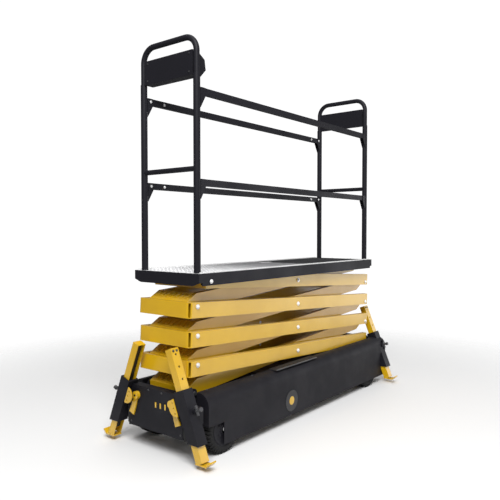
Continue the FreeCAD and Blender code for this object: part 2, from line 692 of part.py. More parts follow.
def cover_trim():
    """A step plate on each cover's shoulder and a plain round badge on each side."""
    trim = []
    for side in SIDES:
        trim.append(block(("-400", "130"), span(side, "cover_in + 3", "cover_in + 73"),
                          ("chassis_top", "chassis_top + 10")))
        low, _ = span(side, "cover_out", "cover_out + 3")
        trim.append(rod("y", ("-badge_place", low, "badge_height"), "3", "badge_radius"))
    return node("cover_trim", group(trim))


def battery_box():
    tub = block(("-250", "250"), ("-140", "140"), ("floor_low + floor_wall", "290"))
    lid = block(("-256", "256"), ("-146", "146"), ("290", "312"))
    terminals = [rod("z", (x, "60", "312"), "14", "9") for x in ("-180", "180")]
    return node("battery_box", fuse([tub, lid] + terminals))


def power_pack():
    """Oil tank with the pump motor lying on top."""
    tank = block(("340", "690"), ("-95", "95"), ("floor_low + floor_wall", "200"))
    motor = rod("x", ("380", "0", "246"), "180", "52")
    pump = rod("x", ("560", "0", "246"), "70", "36")
    filler = rod("z", ("660", "50", "200"), "22", "18")
    return node("power_pack", fuse([tank, motor, pump, filler]))


def axles():
    """Fixed axles; the near one carries the drive housing."""
    solids = []
    for end in (-1, 1):
        solids.append(rod("y", (f"{end} * wheel_place", "-wheel_out - 2", "wheel_radius"),
                          "2 * wheel_out + 4", "axle_radius"))
    housing = block(("-wheel_place - 80", "-wheel_place + 80"), ("-60", "60"),
                    ("wheel_radius - 58", "wheel_radius + 58"))
    motor = rod("x", ("-wheel_place + 80", "0", "wheel_radius"), "90", "48")
    return node("axles", group([fuse([solids[0], housing, motor]), solids[1]]))


chassis_frame()
base_pins()
base_tracks()
for name, end in ENDS:
    end_panel(f"{name}_panel", end)
side_cover("side_cover_right", -1)
side_cover("side_cover_left", 1)
cover_trim()
battery_box()
power_pack()
axles()

# ---------------------------------------------------------------- wheels


def wheel(label, end, side):
    """Two tyres side by side on one hub."""
    centre = f"{end} * wheel_place"

    def disc(inner, outer, radius):
        low, high = span(side, inner, outer)
        return rod("y", (centre, low, "wheel_radius"), f"({high}) - ({low})", radius)

    tyres = []
    for number in (0, 1):
        outer = f"wheel_out - {number} * (tyre_width + tyre_gap)"
        body = disc(f"{outer} - tyre_width", outer, "wheel_radius")
        hole = disc(f"{outer} - tyre_width - 1", f"{outer} + 1", "rim_radius")
        tyre = doc.addObject("Part::Chamfer", "tyre")
        ring = cut(body, [hole])
        doc.recompute()
        rims = [i for i, edge in enumerate(ring.Shape.Edges, start=1)
                if edge.Curve.TypeId == "Part::GeomCircle" and abs(edge.Curve.Radius - val("wheel_radius")) < 1]
        tyre.Base = ring
        tyre.Edges = [(i, 12, 12) for i in rims]
        tyres.append(tyre)
    rim = disc("wheel_out - 2 * tyre_width - tyre_gap + 6", "wheel_out - 8", "rim_radius")
    bore = disc("beam_out", "wheel_out + 10", "axle_radius + running_gap")
    return node(label, group([cut(rim, [bore])] + tyres))


for name, end in ENDS:
    wheel(f"wheel_{name}_right", end, -1)
    wheel(f"wheel_{name}_left", end, 1)

# ---------------------------------------------------------------- stabiliser legs
# Each leg is drawn upright about the foot of its sleeve, then leaned about X.
# "out" is the way off the machine across it; "face" is the way off its end.


SLEEVE_X = "(leg_width / 2 + sleeve_play + sleeve_wall)"
SLEEVE_Y = "(leg_depth / 2 + sleeve_play + sleeve_side_wall)"


def sleeve(end, side):
    """Box sleeve cut level at its foot, the ear behind the sector plate, and the index pin's boss."""
    tube = block((f"-{SLEEVE_X}", SLEEVE_X), (f"-{SLEEVE_Y}", SLEEVE_Y), ("-30", "sleeve_length"))
    hole = block(("-leg_width / 2 - sleeve_play", "leg_width / 2 + sleeve_play"),
                 ("-leg_depth / 2 - sleeve_play", "leg_depth / 2 + sleeve_play"), ("-31", "sleeve_length + 1"))
    low, _ = span(end, f"{SLEEVE_X} - sleeve_wall", SLEEVE_X)
    ear = rod("x", (low, f"-{side} * sector_place", "sector_height"), "sleeve_wall", "sector_radius - 3")
    low, _ = span(side, SLEEVE_Y, f"{SLEEVE_Y} + 18")
    boss = rod("y", ("0", low, "index_height"), "18", "15")
    low, _ = span(side, "leg_depth / 2", f"{SLEEVE_Y} + 20")
    bore = rod("y", ("0", low, "index_height"), f"{SLEEVE_Y} + 20 - leg_depth / 2", "index_radius + 0.2")
    leaned = lean(cut(fuse([tube, ear, boss]), [hole, bore]), end, side)
    below = block((f"{end} * leg_place - 60", f"{end} * leg_place + 60"), span(side, "leg_side - 80", "leg_side + 100"),
                  ("sleeve_foot - 60", "sleeve_foot"))
    return cut(leaned, [below])


def sector_plate(end, side):
    """Half-round plate on the end face of a sleeve, bulging inboard, with three bolt holes."""
    low, high = span(end, SLEEVE_X, f"{SLEEVE_X} + sector_wall")
    disc = rod("x", (low, f"-{side} * sector_place", "sector_height"), "sector_wall", "sector_radius")
    half = block((f"{low} - 1", f"{high} + 1"), span(side, "-sector_place", "sector_radius"),
                 ("sector_height - sector_radius - 1", "sector_height + sector_radius + 1"))
    holes = []
    for up in (-32, 0, 32):
        holes.append(rod("x", (f"{low} - 1", f"-{side} * (sector_place + 16)", f"sector_height + {up}"),
                         "sector_wall + 2", "5"))
    return lean(cut(disc, [half] + holes), end, side)


def leg(label, end, side):
    """Channel leg with its web outboard, a cap, a row of holes and a foot plate."""
    x = ("-leg_width / 2", "leg_width / 2")
    outer = block(x, ("-leg_depth / 2", "leg_depth / 2"), ("-leg_below", "leg_above"))
    inner = block(("-leg_width / 2 + leg_wall", "leg_width / 2 - leg_wall"),
                  span(side, "-leg_depth / 2 - 1", "leg_depth / 2 - leg_wall"), ("-leg_below - 1", "leg_above - leg_wall"))
    holes = []
    for number in range(8):
        up = f"leg_above - 40 - {number} * 75"
        low, _ = span(side, "leg_depth / 2 - 10", "leg_depth / 2 + 1")
        holes.append(rod("y", ("0", low, up), "11", "7"))
    channel_leg = cut(outer, [inner] + holes)
    foot = profile("YZ", [
        (f"-{side} * foot_inboard", "0"),
        (f"-{side} * foot_inboard", "-foot_wall"),
        (f"{side} * foot_outboard", "-foot_wall"),
        (f"{side} * (foot_outboard + foot_tip)", "foot_tip - foot_wall"),
        (f"{side} * (foot_outboard + foot_tip - 6)", "foot_tip - 2"),
        (f"{side} * (foot_outboard - 4)", "0"),
    ], x[0], x[1])
    turn(foot, (1, 0, 0), f"-{side} * leg_lean", z="-leg_below")
    return node(label, lean(fuse([channel_leg, foot]), end, side))


def index_pin(label, end, side):
    """Spring plunger with a cross bar and a round knob; pulled outboard to free the leg."""
    tip = "leg_depth / 2 + 0.6"
    low, _ = span(side, tip, f"{tip} + 72")
    stem = rod("y", ("0", low, "index_height"), "72", "index_radius")
    low, _ = span(side, f"{tip} + 64", f"{tip} + 82")
    knob = rod("y", ("0", low, "index_height"), "18", "13")
    bar = block(("-8", "8"), span(side, f"{tip} + 40", f"{tip} + 48"), ("index_height - 30", "index_height + 30"))
    return node(label, lean(fuse([stem, knob, bar]), end, side))


def lever(label, end, side):
    """Flat release lever that hangs from a stud on the end panel, parallel to the leg."""
    low, high = span(end, "2", "12")
    arm = profile("YZ", [("-15", "0"), ("15", "0"), ("22", "-lever_length"), ("-22", "-lever_length")], low, high)
    low, _ = span(end, "1", "25")
    hub = rod("x", (low, "0", "0"), "24", "25")
    low, _ = span(end, "0", "30")
    bore = rod("x", (low, "0", "0"), "30", "lever_stud + running_gap")
    piece = cut(fuse([hub, arm]), [bore])
    turn(piece, (1, 0, 0), f"{side} * leg_lean", f"{end} * panel_place", f"{side} * lever_side", "lever_height")
    return node(label, piece)


sectors = []
bumpers = []
for name, end in ENDS:
    sleeves = []
    for side_name, side in (("right", -1), ("left", 1)):
        sleeves.append(sleeve(end, side))
        sectors.append(sector_plate(end, side))
        leg(f"leg_{name}_{side_name}", end, side)
        index_pin(f"index_pin_{name}_{side_name}", end, side)
        lever(f"lever_{name}_{side_name}", end, side)
        place_x = f"{end} * (panel_place - bumper_radius)"
        place_y = f"{side} * (panel_half + bumper_radius - 4)"
        post = rod("z", (place_x, place_y, "bumper_low"), "bumper_high - bumper_low", "bumper_radius")
        stud = rod("z", (place_x, place_y, "bumper_low - 18"), "18", "bumper_radius - 5")
        flat = block((f"{place_x} - 20", f"{place_x} + 20"), span(side, "panel_half - 20", "panel_half"),
                     ("bumper_low - 20", "bumper_high + 1"))
        bumpers.append(cut(fuse([post, stud]), [flat]))
    node(f"leg_sleeves_{name}", group(sleeves))
node("sector_plates", group(sectors))
node("corner_bumpers", group(bumpers))

# ---------------------------------------------------------------- platform


def platform_frame():
    """Edge channel with cut lower corners, deck beams and the near hinge brackets."""
    y = ("-platform_width / 2", "platform_width / 2")
    z = ("deck_height - skirt_height", "deck_height")
    outer = block((NEAR_END, FAR_END), y, z)
    inner = block((f"{NEAR_END} + skirt_wall", f"{FAR_END} - skirt_wall"),
                  ("-platform_width / 2 + skirt_wall", "platform_width / 2 - skirt_wall"),
                  ("deck_height - skirt_height - 1", "deck_height + 1"))
    corners = []
    for side in SIDES:
        corners.append(profile("YZ", [
            (f"{side} * (platform_width / 2 + 1)", "deck_height - skirt_height - 1"),
            (f"{side} * (platform_width / 2 + 1)", "deck_height - skirt_height + skirt_chamfer"),
            (f"{side} * (platform_width / 2 - 60)", "deck_height - skirt_height - 1"),
        ], f"{NEAR_END} - 1", f"{NEAR_END} + 30"))
        corners.append(profile("YZ", [
            (f"{side} * (platform_width / 2 + 1)", "deck_height - skirt_height - 1"),
            (f"{side} * (platform_width / 2 + 1)", "deck_height - skirt_height + skirt_chamfer"),
            (f"{side} * (platform_width / 2 - 60)", "deck_height - skirt_height - 1"),
        ], f"{FAR_END} - 30", f"{FAR_END} + 1"))
    parts = [cut(outer, [inner] + corners)]
    for x in (-230, 230):
        parts.append(block((f"{x} - 20", f"{x} + 20"), ("-platform_width / 2 + 2", "platform_width / 2 - 2"),
                           ("deck_height - deck_wall - 26", "deck_height - deck_wall")))
    for side in SIDES:
        parts.append(block(("-top_half_span - 34", "-top_half_span + 34"),
                           span(side, "outer_half + 4", "platform_width / 2 - 2"),
                           ("deck_height - skirt_height", "deck_height - deck_wall")))
    hole = rod("y", ("-top_half_span", "-platform_width / 2 + 10", DECK_PIN_LEVEL), "platform_width - 20",
               "pin_radius + running_gap")
    return node("platform_frame", cut(fuse(parts), [hole]))


def posts_at(end):
    """Plan position of the two posts at one end."""
    return f"platform_shift + {end} * (platform_length / 2 - post_inset)"


def deck_grating():
    """Deck plate in three planks, notched around the posts."""
    parts = []
    third = "((platform_width - 2 * skirt_wall - 2) / 3)"
    holes = [rod("z", (posts_at(end), f"{side} * post_side", "deck_height - deck_wall - 1"),
                 "deck_wall + 2", "post_radius + 0.2") for end in (-1, 1) for side in SIDES]
    for number in range(3):
        low = f"-platform_width / 2 + skirt_wall + 1 + {number} * {third}"
        plank = block((f"{NEAR_END} + skirt_wall + 1", f"{FAR_END} - skirt_wall - 1"),
                      (f"{low} + 1", f"{low} + {third} - 1"), ("deck_height - deck_wall", "deck_height"))
        parts.append(plank if number == 1 else cut(plank, holes[1 - number // 2::2]))
    return node("deck_grating", group(parts))


def deck_tracks():
    low = f"{DECK_PIN_LEVEL} - deck_roller_radius - track_gap - track_wall"
    high = f"{DECK_PIN_LEVEL} + deck_roller_radius + track_gap + track_wall"
    x = ("top_half_span - 400", "top_half_span + 36")
    rails = []
    for side in SIDES:
        rail = channel(x, "outer", "inner_half + 3.5", "outer_half - 24", low, high, side)
        hanger = block(x, span(side, "outer_half - 40", "outer_half - 24"), (high, "deck_height - deck_wall"))
        rails.append(fuse([rail, hanger]))
    return node("deck_tracks", group(rails))


platform_frame()
deck_grating()
deck_tracks()

# ---------------------------------------------------------------- guard rails


def end_frame(label, end):
    """Two tube posts and their crossbar."""
    x = posts_at(end)
    base = "deck_height - skirt_height + 24"
    tubes = []
    bores = []
    for side in SIDES:
        tubes.append(rod("z", (x, f"{side} * post_side", base), f"deck_height + post_height - ({base})",
                         "post_radius"))
        bores.append(rod("z", (x, f"{side} * post_side", "deck_height + 4"), "post_height",
                         "post_radius - tube_wall"))
    bar = rod("y", (x, "-post_side", "deck_height + crossbar_height"), "2 * post_side", "crossbar_radius")
    return node(label, cut(fuse(tubes + [bar]), bores))


def hoop(end):
    """A bent tube whose legs slide into the posts."""
    x = val("platform_shift") + end * (val("platform_length") / 2 - val("post_inset"))
    side = val("post_side")
    low = val("deck_height") + val("post_height") - val("hoop_socket")
    high = val("deck_height") + val("hoop_height")
    bend = val("hoop_bend")
    turn_in = bend * (1 - math.sqrt(0.5))
    path = Part.Wire([
        Part.LineSegment(Vector(x, -side, low), Vector(x, -side, high - bend)).toShape(),
        Part.Arc(Vector(x, -side, high - bend), Vector(x, -side + turn_in, high - turn_in),
                 Vector(x, -side + bend, high)).toShape(),
        Part.LineSegment(Vector(x, -side + bend, high), Vector(x, side - bend, high)).toShape(),
        Part.Arc(Vector(x, side - bend, high), Vector(x, side - turn_in, high - turn_in),
                 Vector(x, side, high - bend)).toShape(),
        Part.LineSegment(Vector(x, side, high - bend), Vector(x, side, low)).toShape(),
    ])

    def tube(radius):
        ring = Part.Wire([Part.Circle(Vector(x, -side, low), Vector(0, 0, 1), radius).toShape()])
        return path.makePipeShell([ring], True, True)

    obj = doc.addObject("Part::Feature", "hoop")
    obj.Shape = tube(val("hoop_radius")).cut(tube(val("hoop_radius") - val("tube_wall")))
    return obj


RAILS = ("top_rail_height", "mid_rail_height")


def side_rails():
    rails = []
    for side in SIDES:
        for height in RAILS:
            x = (f"{posts_at(-1)} + post_radius + 2", f"{posts_at(1)} - post_radius - 2")
            middle = f"deck_height + {height}"

            def bar(inset, x=x, middle=middle, side=side):
                return block(x, (f"{side} * post_side - rail_thick / 2 + {inset}",
                                 f"{side} * post_side + rail_thick / 2 - {inset}"),
                             (f"{middle} - rail_high / 2 + {inset}", f"{middle} + rail_high / 2 - {inset}"))

            rails.append(cut(bar("0"), [bar("tube_wall")]))
    return node("side_rails", group(rails))


def rail_bracket(end, side, height):
    """Two cheeks either side of a rail, each with a gusset down the post."""
    start = f"{posts_at(end)} - {end} * (post_radius - 4)"
    reach = f"{posts_at(end)} - {end} * (post_radius + bracket_reach)"
    middle = f"deck_height + {height}"
    points = [
        (start, f"{middle} + rail_high / 2"),
        (reach, f"{middle} + rail_high / 2"),
        (reach, f"{middle} - rail_high / 2 - 6"),
        (start, f"{middle} - rail_high / 2 - bracket_drop"),
    ]
    cheeks = []
    for inner, outer in (("rail_thick / 2", "rail_thick / 2 + 4"), ("-rail_thick / 2 - 4", "-rail_thick / 2")):
        cheeks.append(profile("XZ", points, f"{side} * post_side + {inner}", f"{side} * post_side + {outer}"))
    floor_x = (start, reach) if end < 0 else (reach, start)
    floor = block(floor_x, (f"{side} * post_side - rail_thick / 2 - 4", f"{side} * post_side + rail_thick / 2 + 4"),
                  (f"{middle} - rail_high / 2 - 4", f"{middle} - rail_high / 2"))
    post = rod("z", (posts_at(end), f"{side} * post_side", f"{middle} - 200"), "400", "post_radius")
    return cut(fuse(cheeks + [floor]), [post])


for name, end in ENDS:
    end_frame(f"end_frame_{name}", end)
node("hoops", group([hoop(-1), hoop(1)]))
side_rails()
node("rail_brackets", group([rail_bracket(end, side, height)
                             for _, end in ENDS for side in SIDES for height in RAILS]))

# ---------------------------------------------------------------- controls
# The console's sloping face carries the controls. They are drawn upright and turned to it.

CONSOLE_X = f"({posts_at(-1)})"
FACE_TILT = "atan(face_drop / face_run)"
FACE_X = f"({CONSOLE_X} + 32 + face_run / 2)"
FACE_Z = "(deck_height + console_high - face_drop / 2)"


def on_face(obj, across):
    """Set an upright piece square on the middle line of the console's sloping face."""
    return turn(group([obj]), (0, 1, 0), FACE_TILT, FACE_X, across, FACE_Z)


def control_console():
    body = profile("XZ", [
        (f"{CONSOLE_X} - 14", "deck_height + console_low"),
        (f"{CONSOLE_X} - 14", "deck_height + console_high"),
        (f"{CONSOLE_X} + 32", "deck_height + console_high"),
        (f"{CONSOLE_X} + 32 + face_run", "deck_height + console_high - face_drop"),
        (f"{CONSOLE_X} + 104", "deck_height + console_low + 48"),
        (f"{CONSOLE_X} + 58", "deck_height + console_low"),
    ], "-console_half", "console_half")
    sockets = []
    for across, radius, depth in (("-120", "13.3", "30"), ("0", "9.4", "34"), ("110", "10.3", "22")):
        sockets.append(on_face(rod("z", ("0", "0", f"-{depth}"), "60", radius), across))
    return node("control_console", cut(body, sockets))


def control_box_far():
    box = block((f"{posts_at(1)} - 14", f"{posts_at(1)} + 14"), ("-console_half", "console_half"),
                ("deck_height + console_low", "deck_height + console_high"))
    return node("control_box_far", box)


def stop_button():
    stem = rod("z", ("0", "0", "-20"), "26", "13")
    cap = rod("z", ("0", "0", "6"), "12", "20")
    return node("stop_button", on_face(fuse([stem, cap]), "-120"))


def joystick():
    """Lever on a ball that turns inside the console."""
    ball = doc.addObject("Part::Sphere", "ball")
    ball.Radius = 9
    stem = rod("z", ("0", "0", "0"), "58", "4")
    grip = rod("z", ("0", "0", "50"), "24", "10")
    return node("joystick", on_face(fuse([ball, stem, grip]), "0"))


def drive_button():
    cap = rod("z", ("0", "0", "-14"), "20", "10")
    return node("drive_button", on_face(cap, "110"))


control_console()
control_box_far()
stop_button()
joystick()
drive_button()

# ---------------------------------------------------------------- checks and files

doc.recompute()
for obj in doc.Objects:
    if "Invalid" in obj.State or "Error" in obj.State:
        raise RuntimeError(f"{obj.Name} failed: {obj.State}")
for obj in nodes:
    if obj.Shape.isNull() or not obj.Shape.isValid():
        raise RuntimeError(f"{obj.Label} has no valid shape")

os.makedirs("parts", exist_ok=True)
for obj in nodes:
    obj.Shape.exportStep(f"parts/{obj.Label}.step")
    box = obj.Shape.BoundBox
    print(f"{obj.Label}: {len(obj.Shape.Solids)} solids, {obj.Shape.Volume / 1e6:.3f} l, "
          f"x {box.XMin:.0f}..{box.XMax:.0f}, y {box.YMin:.0f}..{box.YMax:.0f}, z {box.ZMin:.0f}..{box.ZMax:.0f}")
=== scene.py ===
# %% [markdown]
# A wheeled scissor lift platform: yellow scissor frames, charcoal chassis, covers and guard rails.
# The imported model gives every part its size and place. This lesson gives the parts their
# finishes and adds what is too small or too repeated for the model: tyres, bolts, grip, ribs.

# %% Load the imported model
import json
import math
import bmesh
import bpy
from mathutils import Matrix, Vector


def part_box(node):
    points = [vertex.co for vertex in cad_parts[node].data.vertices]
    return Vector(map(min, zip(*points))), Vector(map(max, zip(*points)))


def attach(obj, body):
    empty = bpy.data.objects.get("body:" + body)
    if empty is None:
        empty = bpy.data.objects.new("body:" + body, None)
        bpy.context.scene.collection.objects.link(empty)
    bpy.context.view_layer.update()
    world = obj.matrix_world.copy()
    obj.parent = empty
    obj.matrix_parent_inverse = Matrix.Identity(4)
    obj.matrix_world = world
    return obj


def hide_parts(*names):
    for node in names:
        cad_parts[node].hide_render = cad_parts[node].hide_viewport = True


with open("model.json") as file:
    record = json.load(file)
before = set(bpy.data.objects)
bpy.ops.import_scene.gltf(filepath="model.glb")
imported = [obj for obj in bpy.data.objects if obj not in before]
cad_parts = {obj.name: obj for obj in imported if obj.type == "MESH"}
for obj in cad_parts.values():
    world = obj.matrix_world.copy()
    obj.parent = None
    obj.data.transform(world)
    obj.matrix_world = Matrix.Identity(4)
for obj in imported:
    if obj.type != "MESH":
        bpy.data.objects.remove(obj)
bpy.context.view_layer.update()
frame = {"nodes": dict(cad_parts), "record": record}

nodes = frame["nodes"]

# %% [markdown]
# Painted steel is never one flat colour. Three shared effects carry that: a fine grain with a
# slow change of tone, wear along the edges, and a thin film of dust on faces that look up.
# Each is a shader node group, so every finish uses the same recipe with its own values.

# %% A helper that starts a shader group
def shader_group(name, inputs, outputs):
    """An empty shader group with named sockets; inputs are (name, default)."""
    group = bpy.data.node_groups.new(name, "ShaderNodeTree")
    for label, default in inputs:
        socket = group.interface.new_socket(label, in_out="INPUT", socket_type="NodeSocketFloat")
        socket.default_value = default
    for label, kind in outputs:
        group.interface.new_socket(label, in_out="OUTPUT", socket_type=kind)
    start = group.nodes.new("NodeGroupInput")
    end = group.nodes.new("NodeGroupOutput")
    return group, start.outputs, end.inputs


def node_in(tree, kind, **settings):
    node = tree.nodes.new(kind)
    for key, value in settings.items():
        setattr(node, key, value)
    return node


def ramp(tree, value, low, high, to_low=0.0, to_high=1.0):
    """Map a value from one range to another, smoothly and clamped."""
    node = node_in(tree, "ShaderNodeMapRange", interpolation_type="SMOOTHSTEP")
    tree.links.new(value, node.inputs["Value"])
    for label, number in (("From Min", low), ("From Max", high), ("To Min", to_low), ("To Max", to_high)):
        node.inputs[label].default_value = number
    return node.outputs["Result"]


# %% The grain of a sprayed coat
def make_coat_grain():
    group, given, out = shader_group(
        "coat_grain", [("Scale", 160.0), ("Patch Scale", 3.0)],
        [("Height", "NodeSocketFloat"), ("Tone", "NodeSocketFloat")])
    coords = node_in(group, "ShaderNodeTexCoord")
    fine = node_in(group, "ShaderNodeTexNoise")
    fine.inputs["Detail"].default_value = 3.0
    slow = node_in(group, "ShaderNodeTexNoise")
    slow.inputs["Detail"].default_value = 5.0
    slow.inputs["Roughness"].default_value = 0.6
    group.links.new(coords.outputs["Object"], fine.inputs["Vector"])
    group.links.new(coords.outputs["Object"], slow.inputs["Vector"])
    group.links.new(given["Scale"], fine.inputs["Scale"])
    group.links.new(given["Patch Scale"], slow.inputs["Scale"])
    group.links.new(fine.outputs["Fac"], out["Height"])
    group.links.new(ramp(group, slow.outputs["Fac"], 0.3, 0.7), out["Tone"])
    return group


coat_grain = make_coat_grain()
print("group", coat_grain.name)


# %% Wear along edges
def make_edge_wear():
    group, given, out = shader_group(
        "edge_wear", [("Radius", 0.003), ("Patch Scale", 14.0)],
        [("Mask", "NodeSocketFloat"), ("Normal", "NodeSocketVector")])
    rounded = node_in(group, "ShaderNodeBevel", samples=6)
    group.links.new(given["Radius"], rounded.inputs["Radius"])
    surface = node_in(group, "ShaderNodeNewGeometry")
    dot = node_in(group, "ShaderNodeVectorMath", operation="DOT_PRODUCT")
    group.links.new(rounded.outputs["Normal"], dot.inputs[0])
    group.links.new(surface.outputs["Normal"], dot.inputs[1])
    edge = ramp(group, dot.outputs["Value"], 0.99, 0.86)
    coords = node_in(group, "ShaderNodeTexCoord")
    noise = node_in(group, "ShaderNodeTexNoise")
    noise.inputs["Detail"].default_value = 6.0
    group.links.new(coords.outputs["Object"], noise.inputs["Vector"])
    group.links.new(given["Patch Scale"], noise.inputs["Scale"])
    rubbed = ramp(group, noise.outputs["Fac"], 0.48, 0.66)
    mask = node_in(group, "ShaderNodeMath", operation="MULTIPLY")
    group.links.new(edge, mask.inputs[0])
    group.links.new(rubbed, mask.inputs[1])
    group.links.new(mask.outputs[0], out["Mask"])
    group.links.new(rounded.outputs["Normal"], out["Normal"])
    return group


edge_wear = make_edge_wear()
print("group", edge_wear.name)


# %% Dust on faces that look up
def make_dust_film():
    group, given, out = shader_group(
        "dust_film", [("Patch Scale", 9.0)], [("Mask", "NodeSocketFloat")])
    surface = node_in(group, "ShaderNodeNewGeometry")
    parts = node_in(group, "ShaderNodeSeparateXYZ")
    group.links.new(surface.outputs["Normal"], parts.inputs[0])
    up = ramp(group, parts.outputs["Z"], 0.35, 0.95)
    coords = node_in(group, "ShaderNodeTexCoord")
    noise = node_in(group, "ShaderNodeTexNoise")
    noise.inputs["Detail"].default_value = 8.0
    group.links.new(coords.outputs["Object"], noise.inputs["Vector"])
    group.links.new(given["Patch Scale"], noise.inputs["Scale"])
    mask = node_in(group, "ShaderNodeMath", operation="MULTIPLY")
    group.links.new(up, mask.inputs[0])
    group.links.new(ramp(group, noise.outputs["Fac"], 0.35, 0.75), mask.inputs[1])
    group.links.new(mask.outputs[0], out["Mask"])
    return group


dust_film = make_dust_film()
print("group", dust_film.name)


# %% [markdown]
# A finish is a base colour that drifts a little between two tones, rubs through to a second
# colour on the edges and takes some dust. Only its numbers differ from one part to the next,
# so one function builds them all and the table below reads like a paint shop's order.

# %% One function for every finish
def group_in(tree, group, **values):
    node = node_in(tree, "ShaderNodeGroup", node_tree=group)
    for label, value in values.items():
        node.inputs[label.replace("_", " ")].default_value = value
    return node.outputs


def mix_colour(tree, factor, first, second, amount=1.0):
    """first turning to second by factor; each is a colour or a socket."""
    strength = node_in(tree, "ShaderNodeMath", operation="MULTIPLY")
    tree.links.new(factor, strength.inputs[0])
    strength.inputs[1].default_value = amount
    mix = node_in(tree, "ShaderNodeMix", data_type="RGBA")
    tree.links.new(strength.outputs[0], mix.inputs[0])
    for index, colour in ((6, first), (7, second)):
        if isinstance(colour, tuple):
            mix.inputs[index].default_value = (*colour, 1.0)
        else:
            tree.links.new(colour, mix.inputs[index])
    return mix.outputs[2]


DUST_COLOUR = (0.42, 0.40, 0.36)


def finish(name, light, dark, rough, metal=0.0, coat=0.0, worn=(0.3, 0.3, 0.3), wear=0.5, dust=0.2,
           grain=160.0, bump=0.04, edge=0.0015, gloss=0.5):
    """A material with drifting tone, grain, worn edges and dust."""
    material = bpy.data.materials.new(name)
    material.use_nodes = True
    tree = material.node_tree
    shader = tree.nodes["Principled BSDF"]
    coat_out = group_in(tree, coat_grain, Scale=grain)
    wear_out = group_in(tree, edge_wear, Radius=edge)
    dust_out = group_in(tree, dust_film)
    colour = mix_colour(tree, coat_out["Tone"], light, dark)
    colour = mix_colour(tree, wear_out["Mask"], colour, worn, wear)
    colour = mix_colour(tree, dust_out["Mask"], colour, DUST_COLOUR, dust)
    tree.links.new(colour, shader.inputs["Base Color"])
    roughness = ramp(tree, coat_out["Tone"], 0.0, 1.0, rough, rough + 0.12)
    tree.links.new(roughness, shader.inputs["Roughness"])
    relief = node_in(tree, "ShaderNodeBump")
    relief.inputs["Strength"].default_value = bump
    relief.inputs["Distance"].default_value = 0.001
    tree.links.new(coat_out["Height"], relief.inputs["Height"])
    tree.links.new(wear_out["Normal"], relief.inputs["Normal"])
    tree.links.new(relief.outputs["Normal"], shader.inputs["Normal"])
    shader.inputs["Metallic"].default_value = metal
    shader.inputs["Specular IOR Level"].default_value = gloss
    shader.inputs["Coat Weight"].default_value = coat
    shader.inputs["Coat Roughness"].default_value = 0.18
    material.diffuse_color = (*light, 1.0)
    return material


# %% The finishes
paints = {
    "yellow_paint": finish("yellow_enamel", (0.65, 0.385, 0.004), (0.59, 0.345, 0.004), 0.30, coat=0.7,
                           worn=(0.62, 0.44, 0.10), wear=0.35, dust=0.06, edge=0.0022),
    "charcoal_paint": finish("charcoal_powder_coat", (0.0120, 0.0115, 0.0160), (0.0095, 0.0092, 0.0130), 0.46,
                             worn=(0.05, 0.05, 0.055), wear=0.3, dust=0.02, grain=260.0, bump=0.10,
                             gloss=0.18),
    "black_paint": finish("black_chassis_paint", (0.0115, 0.0112, 0.0150), (0.0085, 0.0083, 0.0115), 0.48,
                          worn=(0.055, 0.055, 0.055), wear=0.5, dust=0.02, grain=240.0, bump=0.10,
                          gloss=0.18),
    "cover_grey": finish("cover_coat", (0.0120, 0.0115, 0.0150), (0.0098, 0.0094, 0.0125), 0.50,
                         worn=(0.045, 0.045, 0.05), wear=0.35, dust=0.02, grain=220.0, bump=0.08,
                         gloss=0.16),
    "trim_grey": finish("trim_plastic", (0.020, 0.020, 0.023), (0.014, 0.014, 0.016), 0.42,
                        worn=(0.2, 0.2, 0.2), wear=0.4, dust=0.05, bump=0.15),
    "bare_steel": finish("zinc_plate", (0.84, 0.84, 0.84), (0.72, 0.72, 0.72), 0.34, metal=0.45,
                         worn=(0.85, 0.85, 0.86), wear=0.5, dust=0.08, bump=0.05, edge=0.001),
    "dark_steel": finish("phosphated_steel", (0.10, 0.10, 0.105), (0.07, 0.07, 0.075), 0.42, metal=0.7,
                         worn=(0.35, 0.35, 0.36), wear=0.5, dust=0.08, bump=0.08, edge=0.001),
    "chrome_rod": finish("chromed_rod", (0.80, 0.80, 0.82), (0.74, 0.74, 0.76), 0.08, metal=1.0,
                         worn=(0.85, 0.85, 0.86), wear=0.2, dust=0.04, bump=0.01, edge=0.001),
    "tyre_rubber": finish("tyre_rubber", (0.0090, 0.0090, 0.0095), (0.0060, 0.0060, 0.0065), 0.66,
                          worn=(0.05, 0.05, 0.048), wear=0.5, dust=0.05, grain=220.0, bump=0.15,
                          gloss=0.25),
    "black_rubber": finish("soft_black_rubber", (0.010, 0.010, 0.010), (0.007, 0.007, 0.007), 0.60,
                           worn=(0.04, 0.04, 0.04), wear=0.4, dust=0.06, bump=0.15),
    "battery_case": finish("battery_plastic", (0.020, 0.020, 0.022), (0.014, 0.014, 0.016), 0.52,
                           worn=(0.1, 0.1, 0.1), wear=0.4, dust=0.2, bump=0.3),
    "red_plastic": finish("red_button_plastic", (0.55, 0.014, 0.012), (0.46, 0.011, 0.010), 0.22, coat=0.3,
                          worn=(0.6, 0.1, 0.08), wear=0.3, dust=0.06, bump=0.03, edge=0.001),
    "green_plastic": finish("green_button_plastic", (0.03, 0.28, 0.06), (0.025, 0.22, 0.05), 0.24, coat=0.3,
                            worn=(0.2, 0.4, 0.22), wear=0.3, dust=0.06, bump=0.03, edge=0.001),
}


